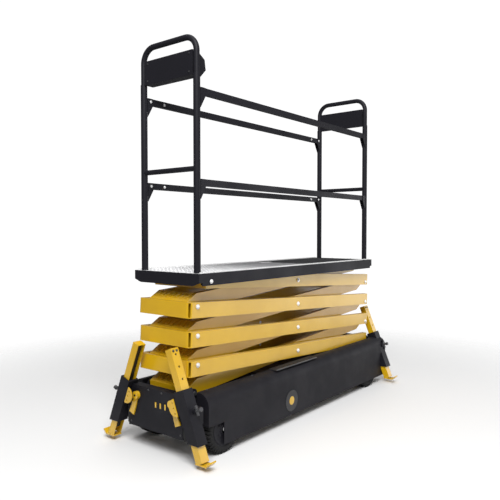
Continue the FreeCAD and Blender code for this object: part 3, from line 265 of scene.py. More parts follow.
def deck_finish_with_painted_shade():
    """Grip steel: bright near the control end, with painted shade that darkens it to near-black over the far
    half.
    """
    material = finish("deck_grip_steel", (0.86, 0.86, 0.87), (0.66, 0.66, 0.67), 0.40, metal=0.25,
                      worn=(0.90, 0.90, 0.90), wear=0.7, dust=0.05, grain=260.0, bump=0.10)
    tree = material.node_tree
    shader = tree.nodes["Principled BSDF"]
    bright = shader.inputs["Base Color"].links[0].from_socket
    coords = node_in(tree, "ShaderNodeTexCoord")
    parts = node_in(tree, "ShaderNodeSeparateXYZ")
    tree.links.new(coords.outputs["Object"], parts.inputs[0])
    noise = node_in(tree, "ShaderNodeTexNoise")
    noise.inputs["Scale"].default_value = 16.0
    noise.inputs["Detail"].default_value = 6.0
    tree.links.new(coords.outputs["Object"], noise.inputs["Vector"])
    # Painted shade: the deck darkens from the control end towards the far end, to near-black over the far
    # half, along a ragged noisy front.
    ragged = node_in(tree, "ShaderNodeMath", operation="MULTIPLY_ADD")
    tree.links.new(noise.outputs["Fac"], ragged.inputs[0])
    ragged.inputs[1].default_value = 0.35
    tree.links.new(parts.outputs["X"], ragged.inputs[2])
    painted_shade_fade = ramp(tree, ragged.outputs[0], -0.95, 0.10, 0.0, 0.85)
    painted_shade_far = ramp(tree, ragged.outputs[0], 0.22, 0.36)
    colour = mix_colour(tree, painted_shade_fade, bright, (0.10, 0.10, 0.105))
    colour = mix_colour(tree, painted_shade_far, colour, (0.010, 0.010, 0.012))
    tree.links.new(colour, shader.inputs["Base Color"])
    return material


paints["deck_metal"] = deck_finish_with_painted_shade()
slot_of = {row["node"]: row["material_slot"] for row in frame["record"]["subparts"]}
for label, part in nodes.items():
    for place in part.material_slots:
        place.material = paints[slot_of[label]]
for place in nodes["base_pins"].material_slots:
    place.material = paints["dark_steel"]
print("finishes", len(paints), "on", len(nodes), "nodes")


# %% [markdown]
# Bolts, lugs, ribs and grip repeat by the dozen. Geometry Nodes put one small shape on a list
# of points, each turned to face its own way. The points and their facings are worked out
# here from the model's measures; the tree only knows the size of the shape and its finish.

# %% Points that carry a facing
def point_cloud(name, placed):
    """A mesh of loose points, each with the direction its piece faces."""
    mesh = bpy.data.meshes.new(name)
    mesh.from_pydata([tuple(spot) for spot, _ in placed], [], [])
    facing = mesh.attributes.new("facing", "FLOAT_VECTOR", "POINT")
    for index, (_, way) in enumerate(placed):
        facing.data[index].vector = Vector(way).normalized()
    obj = bpy.data.objects.new(name, mesh)
    bpy.context.scene.collection.objects.link(obj)
    return obj


def geometry_tree(name, inputs):
    """A geometry tree with float inputs named for what they set."""
    tree = bpy.data.node_groups.new(name, "GeometryNodeTree")
    tree.interface.new_socket("Geometry", in_out="INPUT", socket_type="NodeSocketGeometry")
    for label, default in inputs:
        socket = tree.interface.new_socket(label, in_out="INPUT", socket_type="NodeSocketFloat")
        socket.default_value = default
    tree.interface.new_socket("Finish", in_out="INPUT", socket_type="NodeSocketMaterial")
    tree.interface.new_socket("Geometry", in_out="OUTPUT", socket_type="NodeSocketGeometry")
    start = tree.nodes.new("NodeGroupInput")
    end = tree.nodes.new("NodeGroupOutput")
    return tree, start.outputs, end.inputs


def spread(tree, start, end, shape):
    """Put a shape on every point, turned to its facing, as one real mesh."""
    facing = node_in(tree, "GeometryNodeInputNamedAttribute", data_type="FLOAT_VECTOR")
    facing.inputs["Name"].default_value = "facing"
    turn = node_in(tree, "FunctionNodeAlignRotationToVector", axis="Z")
    tree.links.new(facing.outputs["Attribute"], turn.inputs["Vector"])
    put = node_in(tree, "GeometryNodeInstanceOnPoints")
    tree.links.new(start["Geometry"], put.inputs["Points"])
    tree.links.new(shape, put.inputs["Instance"])
    tree.links.new(turn.outputs["Rotation"], put.inputs["Rotation"])
    real = node_in(tree, "GeometryNodeRealizeInstances")
    tree.links.new(put.outputs["Instances"], real.inputs["Geometry"])
    coat = node_in(tree, "GeometryNodeSetMaterial")
    tree.links.new(real.outputs["Geometry"], coat.inputs["Geometry"])
    tree.links.new(start["Finish"], coat.inputs["Material"])
    tree.links.new(coat.outputs["Geometry"], end["Geometry"])


def scaled(tree, socket, factor):
    node = node_in(tree, "ShaderNodeMath", operation="MULTIPLY")
    tree.links.new(socket, node.inputs[0])
    node.inputs[1].default_value = factor
    return node.outputs[0]


def lifted(tree, mesh, height):
    """Move a shape up its own axis."""
    place = node_in(tree, "ShaderNodeCombineXYZ")
    tree.links.new(height, place.inputs["Z"])
    move = node_in(tree, "GeometryNodeTransform")
    tree.links.new(mesh, move.inputs["Geometry"])
    tree.links.new(place.outputs[0], move.inputs["Translation"])
    return move.outputs["Geometry"]


def drum(tree, sides, radius, depth):
    shape = node_in(tree, "GeometryNodeMeshCylinder")
    shape.inputs["Vertices"].default_value = sides
    tree.links.new(radius, shape.inputs["Radius"])
    tree.links.new(depth, shape.inputs["Depth"])
    return lifted(tree, shape.outputs["Mesh"], scaled(tree, depth, 0.5))


# %% A hex bolt on its washer
def make_bolt_tree():
    tree, start, end = geometry_tree("hex_bolts", [("Head Radius", 0.008)])
    radius = start["Head Radius"]
    washer = drum(tree, 20, scaled(tree, radius, 1.35), scaled(tree, radius, 0.25))
    head = drum(tree, 6, radius, scaled(tree, radius, 0.75))
    cone = node_in(tree, "GeometryNodeMeshCone")
    cone.inputs["Vertices"].default_value = 6
    tree.links.new(scaled(tree, radius, 0.78), cone.inputs["Radius Top"])
    tree.links.new(radius, cone.inputs["Radius Bottom"])
    tree.links.new(scaled(tree, radius, 0.18), cone.inputs["Depth"])
    top = lifted(tree, cone.outputs["Mesh"], scaled(tree, radius, 0.75))
    joined = node_in(tree, "GeometryNodeJoinGeometry")
    for piece in (washer, head, top):
        tree.links.new(piece, joined.inputs["Geometry"])
    spread(tree, start, end, joined.outputs["Geometry"])
    return tree


def settle(obj, tree, values, paint):
    """Run a geometry tree on an object and keep its result as a plain mesh."""
    run = obj.modifiers.new(tree.name, "NODES")
    run.node_group = tree
    ids = {item.name: item.identifier for item in tree.interface.items_tree if item.in_out == "INPUT"}
    for label, value in values.items():
        run[ids[label]] = value
    run[ids["Finish"]] = paint
    graph = bpy.context.evaluated_depsgraph_get()
    graph.update()
    result = bpy.data.meshes.new_from_object(obj.evaluated_get(graph))
    obj.modifiers.clear()
    obj.data = result
    return obj


def fasten(name, body, radius, placed, slot="bare_steel"):
    """Bolts on one body, from a list of (place, facing)."""
    obj = settle(point_cloud(name, placed), hex_bolts, {"Head Radius": radius}, paints[slot])
    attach(obj, body)
    return len(placed)


hex_bolts = make_bolt_tree()
print("tree", hex_bolts.name)

# %% [markdown]
# The scissor turns on headed pins. On the real machine each pin is held by a bolt in the middle
# of its head, so a bolt goes on every head, on the body that carries the pin.

# %% Bolts on the scissor pins
SIDES = (-1, 1)
SPAN, BASE, RISE, HEAD = 1.1, 0.378, 0.179, 0.235
count = 0
for stage in range(1, 5):
    spots = [(0.0, BASE + (stage - 0.5) * RISE)]
    if stage < 4:
        spots.append((-SPAN, BASE + stage * RISE))
    if stage > 1:
        spots.append((SPAN, BASE + (stage - 1) * RISE))
    placed = [((x, side * HEAD, z), (0, side, 0)) for x, z in spots for side in SIDES]
    count += fasten(f"pin_bolts_{stage}", f"outer_frame_{stage}", 0.0085, placed)
print("pin bolts", count)

# %% Bolts on the platform and its guard rails
POST_X = (-1.107, 1.063)
POST_Y = 0.236
rail_places = [((-1.04, side * 0.290, 1.0683), (0, side, 0)) for side in SIDES]
bracket_places = []
for x in POST_X:
    inward = 1 if x < 0 else -1
    for side in SIDES:
        for z in (1.670, 2.220):
            y = side * POST_Y
            bracket_places.append(((x + inward * 0.044, y - side * 0.017, z), (0, -side, 0)))
            bracket_places.append(((x + inward * 0.165, y - side * 0.013, z), (0, -side, 0)))
count = fasten("platform_bolts", "platform", 0.010, rail_places)
count += fasten("rail_bolts", "platform", 0.0070, bracket_places)
print("platform bolts", count)


# %% Bolts on the legs
LEAN = math.radians(22)
LEG_X, LEG_Y, LEG_Z = 1.237, 0.358, 0.140


def on_leg(end, side, x, across, up):
    """A point given along a leaned leg: x along the machine, across outboard, up the leg."""
    y = side * (LEG_Y + across * math.cos(LEAN) - up * math.sin(LEAN))
    return (end * LEG_X + x, y, LEG_Z + across * math.sin(LEAN) + up * math.cos(LEAN))


count = 0
for end_name, end in (("near", -1), ("far", 1)):
    for side_name, side in (("right", -1), ("left", 1)):
        outboard = (0, side * math.cos(LEAN), math.sin(LEAN))
        top = [(on_leg(end, side, x, 0.025, 0.552), outboard) for x in (-0.014, 0.014)]
        leg = f"{end_name}_{side_name}"
        count += fasten(f"leg_bolts_{leg}", f"leg_{leg}", 0.0060, top, "dark_steel")
print("leg bolts", count)

# %% Screws of the covers, panels and console
COVER_SCREWS = (-1.05, -0.6, 0.5, 0.9, 1.12)
cover_places = [((x, side * 0.258, 0.398), (0, 0, 1)) for side in SIDES for x in COVER_SCREWS]
panel_places = [((end * 1.240, side * y, z), (end, 0, 0)) for end in SIDES for side in SIDES
                for y, z in ((0.222, 0.160), (0.060, 0.385))]
box_places = [((x, side * 0.185, z), (way, 0, 0)) for x, way in ((-1.121, -1), (1.077, 1))
              for side in SIDES for z in (2.335, 2.445)]
count = fasten("cover_screws", "chassis", 0.005, cover_places + panel_places, "dark_steel")
count += fasten("console_screws", "platform", 0.005, box_places, "trim_grey")
print("screws", count)


# %% [markdown]
# Each wheel carries two block-tread tyres on a dished rim. A tyre is a ring turned from one
# profile, and its lugs are one shape repeated round it. A Screw modifier could turn the ring,
# but building it face by face keeps it closed; the lugs come from a tree, because their number
# and size follow a rule.

# %% Turn a closed ring from a profile
def turned(name, profile, centre, axis=(0, 1, 0), steps=72):
    """A closed shape turned about an axis from (radius, along) points."""
    along = Vector(axis).normalized()
    across = along.orthogonal().normalized()
    third = along.cross(across)
    verts, faces = [], []
    for step in range(steps):
        angle = 2 * math.pi * step / steps
        way = across * math.cos(angle) + third * math.sin(angle)
        verts += [Vector(centre) + way * radius + along * offset for radius, offset in profile]
    size = len(profile)
    for step in range(steps):
        here, there = step * size, (step + 1) % steps * size
        for i in range(size):
            j = (i + 1) % size
            faces.append((here + i, here + j, there + j, there + i))
    mesh = bpy.data.meshes.new(name)
    mesh.from_pydata([tuple(v) for v in verts], [], faces)
    shape = bmesh.new()
    shape.from_mesh(mesh)
    bmesh.ops.remove_doubles(shape, verts=shape.verts, dist=1e-6)
    bmesh.ops.dissolve_degenerate(shape, edges=shape.edges, dist=1e-6)
    bmesh.ops.recalc_face_normals(shape, faces=shape.faces)
    shape.to_mesh(mesh)
    shape.free()
    obj = bpy.data.objects.new(name, mesh)
    bpy.context.scene.collection.objects.link(obj)
    return obj


def dress(obj, body, slot, smooth=35.0):
    """Give a piece its finish, its shading and its body."""
    obj.data.materials.clear()
    obj.data.materials.append(paints[slot])
    obj.data.shade_smooth()
    obj.data.set_sharp_from_angle(angle=math.radians(smooth))
    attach(obj, body)
    return obj


def join(name, objs):
    """One object from several plain meshes."""
    shape = bmesh.new()
    for obj in objs:
        shape.from_mesh(obj.data)
        bpy.data.objects.remove(obj)
    mesh = bpy.data.meshes.new(name)
    shape.to_mesh(mesh)
    shape.free()
    made = bpy.data.objects.new(name, mesh)
    bpy.context.scene.collection.objects.link(made)
    return made


# %% The lug that goes round a tyre
LUG = [(0.112, -0.0275), (0.128, -0.0298), (0.144, -0.0270), (0.150, -0.0205),
       (0.150, 0.0205), (0.144, 0.0270), (0.128, 0.0298), (0.112, 0.0275)]


def lug_mesh(half):
    """One lug: the tyre's outer profile as a bar across the tread, for a tyre about Y."""
    mesh = bpy.data.meshes.new("lug")
    size = len(LUG)
    verts = [(way * half * (0.8 if radius > 0.149 else 1.0), across, radius)
             for way in SIDES for radius, across in LUG]
    faces = [tuple(range(size)), tuple(reversed(range(size, 2 * size)))]
    faces += [(i, i + size, (i + 1) % size + size, (i + 1) % size) for i in range(size)]
    mesh.from_pydata(verts, [], faces)
    shape = bmesh.new()
    shape.from_mesh(mesh)
    bmesh.ops.recalc_face_normals(shape, faces=shape.faces)
    shape.to_mesh(mesh)
    shape.free()
    obj = bpy.data.objects.new("lug", mesh)
    bpy.context.scene.collection.objects.link(obj)
    return obj


def make_lug_tree(shape):
    """Repeat the lug about the axle; the count is an input."""
    tree, start, end = geometry_tree("tyre_lugs", [("Count", 38.0)])
    line = node_in(tree, "GeometryNodeMeshLine")
    line.inputs["Offset"].default_value = (0, 0, 0)
    tree.links.new(start["Count"], line.inputs["Count"])
    number = node_in(tree, "GeometryNodeInputIndex")
    share = node_in(tree, "ShaderNodeMath", operation="DIVIDE")
    tree.links.new(number.outputs[0], share.inputs[0])
    tree.links.new(start["Count"], share.inputs[1])
    angle = node_in(tree, "ShaderNodeCombineXYZ")
    tree.links.new(scaled(tree, share.outputs[0], 2 * math.pi), angle.inputs["Y"])
    source = node_in(tree, "GeometryNodeObjectInfo")
    source.inputs["Object"].default_value = shape
    put = node_in(tree, "GeometryNodeInstanceOnPoints")
    tree.links.new(line.outputs["Mesh"], put.inputs["Points"])
    tree.links.new(source.outputs["Geometry"], put.inputs["Instance"])
    tree.links.new(angle.outputs[0], put.inputs["Rotation"])
    real = node_in(tree, "GeometryNodeRealizeInstances")
    tree.links.new(put.outputs["Instances"], real.inputs["Geometry"])
    coat = node_in(tree, "GeometryNodeSetMaterial")
    tree.links.new(real.outputs["Geometry"], coat.inputs["Geometry"])
    tree.links.new(start["Finish"], coat.inputs["Material"])
    tree.links.new(coat.outputs["Geometry"], end["Geometry"])
    return tree


lug = lug_mesh(0.0080)
tyre_lugs = make_lug_tree(lug)
print("lug points", len(lug.data.vertices))

# %% The wheels
WHEEL_X, WHEEL_Z = 0.970, 0.150
TYRE_MIDDLES = (0.309, 0.241)
HUB_Y, NUT_Y, NUT_CIRCLE, NUTS = 0.212, 0.3285, 0.05, 5
TYRE = [(0.104, -0.0235), (0.110, -0.0285), (0.124, -0.0290), (0.134, -0.0262), (0.1385, -0.020),
        (0.1390, 0.0), (0.1385, 0.020), (0.134, 0.0262), (0.124, 0.0290), (0.110, 0.0285), (0.104, 0.0235)]
CAP = [(0.0, 0.112), (0.080, 0.112), (0.092, 0.117), (0.096, 0.1185), (0.096, 0.1195), (0.088, 0.1195),
       (0.076, 0.1165), (0.030, 0.1165), (0.026, 0.122), (0.0, 0.122)]
RIM = [(0.0151, 0.000), (0.0151, 0.122), (0.026, 0.122), (0.030, 0.118), (0.032, 0.100), (0.070, 0.094),
       (0.088, 0.100), (0.094, 0.116), (0.1035, 0.119), (0.1035, 0.006), (0.060, 0.006), (0.040, 0.000)]


def lug_ring(centre):
    ring = point_cloud("lug_ring", [((0, 0, 0), (0, 0, 1))])
    settle(ring, tyre_lugs, {"Count": 38.0}, paints["tyre_rubber"])
    ring.data.transform(Matrix.Translation(centre))
    return ring


for end_name, end in (("near", -1), ("far", 1)):
    for side_name, side in (("right", -1), ("left", 1)):
        place = f"{end_name}_{side_name}"
        parts = []
        for middle in TYRE_MIDDLES:
            centre = Vector((end * WHEEL_X, side * middle, WHEEL_Z))
            parts += [turned("tyre", TYRE, centre), lug_ring(centre)]
        tyres = dress(join(f"tyres_{place}", parts), f"wheel_{place}", "tyre_rubber", 40)
        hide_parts(f"wheel_{place}")
        hub = Vector((end * WHEEL_X, side * HUB_Y, WHEEL_Z))
        dress(turned(f"rim_{place}", RIM, hub, (0, side, 0)), f"wheel_{place}", "black_paint")
        dress(turned(f"hub_cap_{place}", CAP, hub, (0, side, 0)), f"wheel_{place}", "black_paint")
        turns = [2 * math.pi * k / NUTS for k in range(NUTS)]
        nuts = [((end * WHEEL_X + NUT_CIRCLE * math.cos(a), side * NUT_Y,
                  WHEEL_Z + NUT_CIRCLE * math.sin(a)), (0, side, 0)) for a in turns]
        fasten(f"wheel_nuts_{place}", f"wheel_{place}", 0.007, nuts, "black_paint")
bpy.data.objects.remove(lug)
print("tyre triangles", sum(len(p.vertices) - 2 for p in tyres.data.polygons))


# %% [markdown]
# People stand on open grip planks: round holes pressed up from the sheet, so that each has a
# raised, toothed rim. They could be cut from the sheet one by one, but a collar of ten faces on
# a regular grid reads the same from any side and stays light. A dark disc in each collar is
# painted shade, the dark seen down through the open hole. The planks' folded edges are toothed,
# which shows as a dashed bright line.

# %% A raised hole of the deck
def make_grip_tree():
    tree, start, end = geometry_tree("deck_grip", [("Rim Radius", 0.009), ("Rim Height", 0.0026)])
    outer = node_in(tree, "GeometryNodeMeshCone", fill_type="NONE")
    outer.inputs["Vertices"].default_value = 10
    tree.links.new(scaled(tree, start["Rim Radius"], 0.72), outer.inputs["Radius Top"])
    tree.links.new(start["Rim Radius"], outer.inputs["Radius Bottom"])
    tree.links.new(start["Rim Height"], outer.inputs["Depth"])
    inner = node_in(tree, "GeometryNodeMeshCone", fill_type="NONE")
    inner.inputs["Vertices"].default_value = 10
    tree.links.new(scaled(tree, start["Rim Radius"], 0.72), inner.inputs["Radius Top"])
    tree.links.new(scaled(tree, start["Rim Radius"], 0.55), inner.inputs["Radius Bottom"])
    tree.links.new(start["Rim Height"], inner.inputs["Depth"])
    turned_in = node_in(tree, "GeometryNodeFlipFaces")
    tree.links.new(inner.outputs["Mesh"], turned_in.inputs["Mesh"])
    joined = node_in(tree, "GeometryNodeJoinGeometry")
    tree.links.new(outer.outputs["Mesh"], joined.inputs["Geometry"])
    tree.links.new(turned_in.outputs["Mesh"], joined.inputs["Geometry"])
    spread(tree, start, end, joined.outputs["Geometry"])
    return tree


deck_grip = make_grip_tree()
deck_low, deck_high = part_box("deck_grating")
TOP = deck_high.z
GRIP_ALONG, GRIP_ACROSS = 66, 15
grip_places = []
hole_shade_places = []
for i in range(GRIP_ALONG):
    for j in range(GRIP_ACROSS):
        x = deck_low.x + 0.048 + i * (deck_high.x - deck_low.x - 0.096) / (GRIP_ALONG - 1)
        y = deck_low.y + 0.030 + j * (deck_high.y - deck_low.y - 0.060) / (GRIP_ACROSS - 1)
        near_post = any(abs(x - post) < 0.045 for post in POST_X) and abs(abs(y) - POST_Y) < 0.045
        if not near_post:
            grip_places.append(((x, y, TOP), (0, 0, 1)))
            hole_shade_places.append(((x, y, TOP + 0.0002), (0, 0, 1)))
rims = settle(point_cloud("deck_grip_rims", grip_places), deck_grip,
              {"Rim Radius": 0.0125, "Rim Height": 0.0028}, paints["deck_metal"])
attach(rims, "platform")
print("grip rims", len(grip_places))


# %% A softly edged block
def slab(name, low, high, bevel=0.002):
    """A softly edged block between two corners."""
    low, high = Vector(low), Vector(high)
    shape = bmesh.new()
    bmesh.ops.create_cube(shape, size=1.0)
    for vert in shape.verts:
        vert.co = Vector((a if c < 0 else b) for c, a, b in zip(vert.co, low, high))
    bmesh.ops.bevel(shape, geom=shape.edges[:], offset=bevel, segments=2, affect="EDGES", profile=0.7)
    mesh = bpy.data.meshes.new(name)
    shape.to_mesh(mesh)
    shape.free()
    obj = bpy.data.objects.new(name, mesh)
    bpy.context.scene.collection.objects.link(obj)
    return obj


# %% Painted shade inside the rims, and the toothed edges
def make_disc_tree():
    tree, start, end = geometry_tree("deck_holes", [("Radius", 0.0065)])
    disc = node_in(tree, "GeometryNodeMeshCylinder")
    disc.inputs["Vertices"].default_value = 10
    disc.inputs["Depth"].default_value = 0.0004
    tree.links.new(start["Radius"], disc.inputs["Radius"])
    spread(tree, start, end, disc.outputs["Mesh"])
    return tree


def make_block_tree():
    tree, start, end = geometry_tree("small_blocks", [("Long", 0.01), ("Wide", 0.01), ("High", 0.01)])
    size = node_in(tree, "ShaderNodeCombineXYZ")
    for axis, label in (("X", "Long"), ("Y", "Wide"), ("Z", "High")):
        tree.links.new(start[label], size.inputs[axis])
    cube = node_in(tree, "GeometryNodeMeshCube")
    tree.links.new(size.outputs[0], cube.inputs["Size"])
    spread(tree, start, end, lifted(tree, cube.outputs["Mesh"], scaled(tree, start["High"], 0.5)))
    return tree


# The black discs in the rims are painted shade: the dark seen down through the open holes.
holes = settle(point_cloud("deck_holes", hole_shade_places), make_disc_tree(),
               {"Radius": 0.0068}, paints["black_rubber"])
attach(holes, "platform")
small_blocks = make_block_tree()
TEETH, TOOTH_STEP = 79, 0.028
tooth_x = [deck_low.x + 0.02 + i * TOOTH_STEP for i in range(TEETH)]
tooth_places = [((x, y, TOP), (0, 0, 1)) for x in tooth_x for y in (-0.094, 0.094)]
teeth = settle(point_cloud("deck_teeth", tooth_places), small_blocks,
               {"Long": 0.016, "Wide": 0.004, "High": 0.0035}, paints["deck_metal"])
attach(teeth, "platform")
bright_zinc = finish("bright_zinc", (0.90, 0.90, 0.90), (0.80, 0.80, 0.80), 0.35, metal=0.15,
                     worn=(0.92, 0.92, 0.92), wear=0.4, dust=0.02, bump=0.02, edge=0.001)
edge_places = [((x, y, TOP), (0, 0, 1)) for x in tooth_x
               for y in (deck_low.y + 0.004, deck_high.y - 0.004)]
edge_teeth = settle(point_cloud("deck_edge_teeth", edge_places), small_blocks,
                    {"Long": 0.019, "Wide": 0.006, "High": 0.0085}, bright_zinc)
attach(edge_teeth, "platform")
plate = slab("latch", (0.02, 0.125, TOP - 0.001), (0.15, 0.160, TOP + 0.003), 0.001)
dress(plate, "platform", "bare_steel")
print("teeth", len(tooth_places) + len(edge_places), "holes", len(hole_shade_places))

# %% [markdown]
# The sloping ends of the inner frames are stiffened by pressed ridges that run down the plate.
# A ridge is one softly rounded bar. Geometry Nodes repeat it across the plate, on each frame,
# and a Bevel afterwards rounds every copy at once.

# %% Ridges on the inner frames' sloping ends
TILT = math.atan(RISE / 2 / SPAN) - math.asin(0.022 / math.hypot(SPAN, RISE / 2))
REACH, ARM_HALF, SLOPE_LONG, SLOPE_DROP = 1.130, 0.048, 0.085, 0.040


def on_inner(stage, along, up):
    """A point in an inner frame's own plane, at rest: low at the near end."""
    x = along * math.cos(TILT) - up * math.sin(TILT)
    z = along * math.sin(TILT) + up * math.cos(TILT)
    return Vector((x, 0, BASE + (stage - 0.5) * RISE + z))


ridges = 0
for stage in range(1, 5):
    foot = on_inner(stage, -REACH, ARM_HALF - SLOPE_DROP)
    crest = on_inner(stage, -REACH + SLOPE_LONG, ARM_HALF)
    along = (crest - foot).normalized()
    normal = Vector((-along.z, 0, along.x))
    middle = foot.lerp(crest, 0.64) - normal * 0.003
    placed = [(middle + Vector((0, -0.132 + 0.044 * k, 0)), normal) for k in range(7)]
    bars = settle(point_cloud(f"end_ridges_{stage}", placed), small_blocks,
                  {"Long": 0.062, "Wide": 0.024, "High": 0.0075}, paints["yellow_paint"])
    soft = bars.modifiers.new("soft_edges", "BEVEL")
    soft.width, soft.segments = 0.0030, 3
    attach(bars, f"inner_frame_{stage}")
    ridges += len(placed)
print("ridges", ridges)

# %% [markdown]
# The legs are channels, open towards the machine. A dark sliding strip fills the back of each
# channel, so the leg runs quietly in its sleeve. It is a long softly edged bar, leaned by the
# same rule as the leg's bolts, and it rides on the leg.


# %% Sliding strips inside the legs
def leaned_bar(name, end, side, x_half, across, up):
    """A softly edged bar between two heights of a leaned leg."""
    shape = bmesh.new()
    bmesh.ops.create_cube(shape, size=1.0)
    bmesh.ops.bevel(shape, geom=shape.edges[:], offset=0.02, segments=2, affect="EDGES", profile=0.7)
    for vert in shape.verts:
        x, a, u = (c + 0.5 for c in vert.co)
        place = on_leg(end, side, -x_half + 2 * x_half * x, across[0] + (across[1] - across[0]) * a,
                       up[0] + (up[1] - up[0]) * u)
        vert.co = place
    bmesh.ops.recalc_face_normals(shape, faces=shape.faces)
    mesh = bpy.data.meshes.new(name)
    shape.to_mesh(mesh)
    shape.free()
    obj = bpy.data.objects.new(name, mesh)
    bpy.context.scene.collection.objects.link(obj)
    return obj


for end_name, end in (("near", -1), ("far", 1)):
    for side_name, side in (("right", -1), ("left", 1)):
        leg = f"{end_name}_{side_name}"
        strip = leaned_bar(f"leg_strip_{leg}", end, side, 0.0235, (-0.004, 0.0195), (-0.060, 0.552))
        dress(strip, f"leg_{leg}", "black_rubber")
print("strip triangles", sum(len(p.vertices) - 2 for p in strip.data.polygons), "each")


# %% [markdown]
# Small trim finishes the machine: a ribbed tread, a plain round plate and a small yellow
# reflector on each cover, three plain bars on the near panel where a fleet number could go,
# and bezels round the controls. Blocks and turned rings are enough for shapes as plain as these.

# %% Treads, reflectors and panel bars
TREAD_NEAR, TREAD_FAR = -0.400, 0.130
trim = []
edges = []
for side in SIDES:
    low_y, high_y = sorted((side * 0.250, side * 0.320))
    trim.append(slab("tread", (TREAD_NEAR, low_y, 0.398), (TREAD_FAR, high_y, 0.4045)))
    for k in range(25):
        x = TREAD_NEAR + 0.008 + k * 0.0212
        rib_low, rib_high = (x, low_y + 0.005, 0.4035), (x + 0.006, high_y - 0.005, 0.408)
        trim.append(slab("tread_rib", rib_low, rib_high, 0.0012))
    low_y, high_y = sorted((side * 0.3165, side * 0.3198))
    edge_low, edge_high = (TREAD_NEAR + 0.002, low_y, 0.403), (TREAD_FAR - 0.002, high_y, 0.4078)
    edges.append(slab("edge", edge_low, edge_high, 0.0008))
treads = dress(join("step_treads", trim), "chassis", "trim_grey")
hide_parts("cover_trim")
dress(join("tread_edges", edges), "chassis", "dark_steel")
DISC = [(0.0, 0.0), (0.075, 0.0), (0.0755, 0.0015), (0.0735, 0.003), (0.066, 0.003),
        (0.065, 0.0022), (0.0, 0.0022)]
DISC_X, DISC_Y, DISC_Z = -0.250, 0.345, 0.162
discs = [turned("disc", DISC, (DISC_X, side * DISC_Y, DISC_Z), (0, side, 0), 64) for side in SIDES]
dress(join("side_reflectors", discs), "chassis", "trim_grey")
LENS = [(0.0, 0.0018), (0.030, 0.0018), (0.030, 0.0026), (0.026, 0.0030), (0.0, 0.0030)]
lenses = [turned("lens", LENS, (DISC_X, side * DISC_Y, DISC_Z), (0, side, 0), 40) for side in SIDES]
dress(join("side_lenses", lenses), "chassis", "yellow_paint")
bars = [slab("bar", (-1.2416, y - 0.006, 0.286), (-1.2398, y + 0.006, 0.320), 0.0006)
        for y in (-0.006, -0.048, -0.090)]
dress(join("panel_bars", bars), "chassis", "yellow_paint")
print("trim pieces", len(trim))

# %% Bezels round the controls
FACE = Vector((-1.044, 0, 2.445))
NORMAL = Vector((40, 0, 62)).normalized()


def bezel(name, across, inner, outer, height):
    """A collar on the console's sloping face."""
    ring = [(inner, 0.0), (outer, 0.0), (outer, height * 0.6),
            (outer - height * 0.4, height), (inner, height)]
    return turned(name, ring, FACE + Vector((0, across, 0)), NORMAL, 40)


dress(bezel("stop_button_bezel", -0.120, 0.0215, 0.0290, 0.0030), "platform", "yellow_paint")
bezels = [bezel("ring", 0.0, 0.0120, 0.021, 0.0045), bezel("ring", 0.110, 0.0106, 0.016, 0.0030)]
dress(join("control_bezels", bezels), "platform", "trim_grey")
print("bezels", 3)


# %% [markdown]
# The stage is a plain pale floor and soft light. A large key stands high near the control end,
# a weak low wall of light fills the far right, a wide soft sun adds a little from above, and a
# dim white sky fills the shadows. The camera sees a brighter sky than the one that lights the
# machine, so the background stays clean. The floor fades out before it ends.

# %% Floor, light and camera
def soft_light(name, place, aim, size, power):
    light = bpy.data.lights.new(name, "AREA")
    light.shape, light.energy = "RECTANGLE", power
    light.size, light.size_y = size
    obj = bpy.data.objects.new(name, light)
    obj.location = place
    obj.rotation_mode = "QUATERNION"
    obj.rotation_quaternion = (Vector(aim) - Vector(place)).to_track_quat("-Z", "Y")
    bpy.context.scene.collection.objects.link(obj)


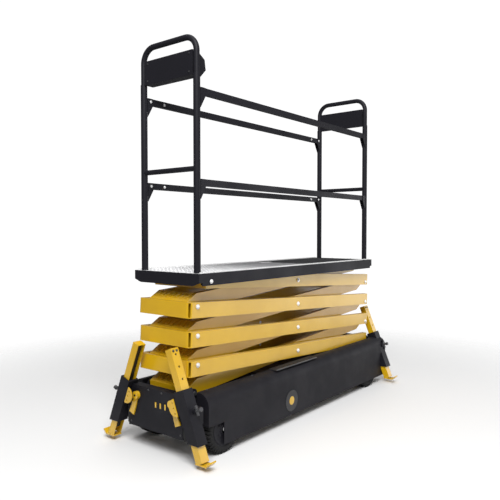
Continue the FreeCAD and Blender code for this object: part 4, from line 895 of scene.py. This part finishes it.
ground = bpy.data.meshes.new("floor")
ground.from_pydata([(-40, -40, 0), (40, -40, 0), (40, 40, 0), (-40, 40, 0)], [], [(0, 1, 2, 3)])
floor = bpy.data.objects.new("floor", ground)
bpy.context.scene.collection.objects.link(floor)
pale = bpy.data.materials.new("pale_floor")
pale.use_nodes = True
paper = pale.node_tree.nodes["Principled BSDF"]
paper.inputs["Base Color"].default_value = (0.76, 0.76, 0.76, 1)
paper.inputs["Roughness"].default_value = 0.9
paper.inputs["Specular IOR Level"].default_value = 0.1
spot = node_in(pale.node_tree, "ShaderNodeTexCoord")
reach = node_in(pale.node_tree, "ShaderNodeVectorMath", operation="LENGTH")
pale.node_tree.links.new(spot.outputs["Object"], reach.inputs[0])
fade = ramp(pale.node_tree, reach.outputs["Value"], 1.6, 4.6, 1.0, 0.0)
pale.node_tree.links.new(fade, paper.inputs["Alpha"])
ground.materials.append(pale)

soft_light("key", (-4.5, -3.6, 6.5), (0, 0, 0.8), (4.0, 4.0), 760)
soft_light("side_wall", (5.3, -4.3, 1.2), (0, 0, 1.1), (7.0, 3.2), 125)
sun = bpy.data.lights.new("soft_sun", "SUN")
sun.energy, sun.angle = 0.9, math.radians(60)
sun_place = bpy.data.objects.new("soft_sun", sun)
sun_place.rotation_euler = Vector((0.3, 0.1, 1.0)).to_track_quat("Z", "Y").to_euler()
bpy.context.scene.collection.objects.link(sun_place)
world = bpy.data.worlds.new("white_sky")
world.use_nodes = True
sky = world.node_tree.nodes["Background"]
ray = world.node_tree.nodes.new("ShaderNodeLightPath")
level = world.node_tree.nodes.new("ShaderNodeMapRange")
level.inputs["To Min"].default_value = 0.22
level.inputs["To Max"].default_value = 1.05
world.node_tree.links.new(ray.outputs["Is Camera Ray"], level.inputs["Value"])
world.node_tree.links.new(level.outputs["Result"], sky.inputs["Strength"])
sky.inputs["Color"].default_value = (1, 1, 1, 1)
bpy.context.scene.world = world
bpy.context.scene.view_settings.view_transform = "Standard"

lens = bpy.data.cameras.new("camera")
lens.lens, lens.sensor_width = 41.2, 36.0
camera = bpy.data.objects.new("camera", lens)
camera.location = (-3.619, -2.636, 1.375)
PITCH, HEADING = 1.89, 38.42
camera.rotation_euler = (math.radians(90 - PITCH), 0, math.radians(HEADING - 90))
bpy.context.scene.collection.objects.link(camera)
bpy.context.scene.camera = camera
print("camera at", tuple(round(v, 3) for v in camera.location))
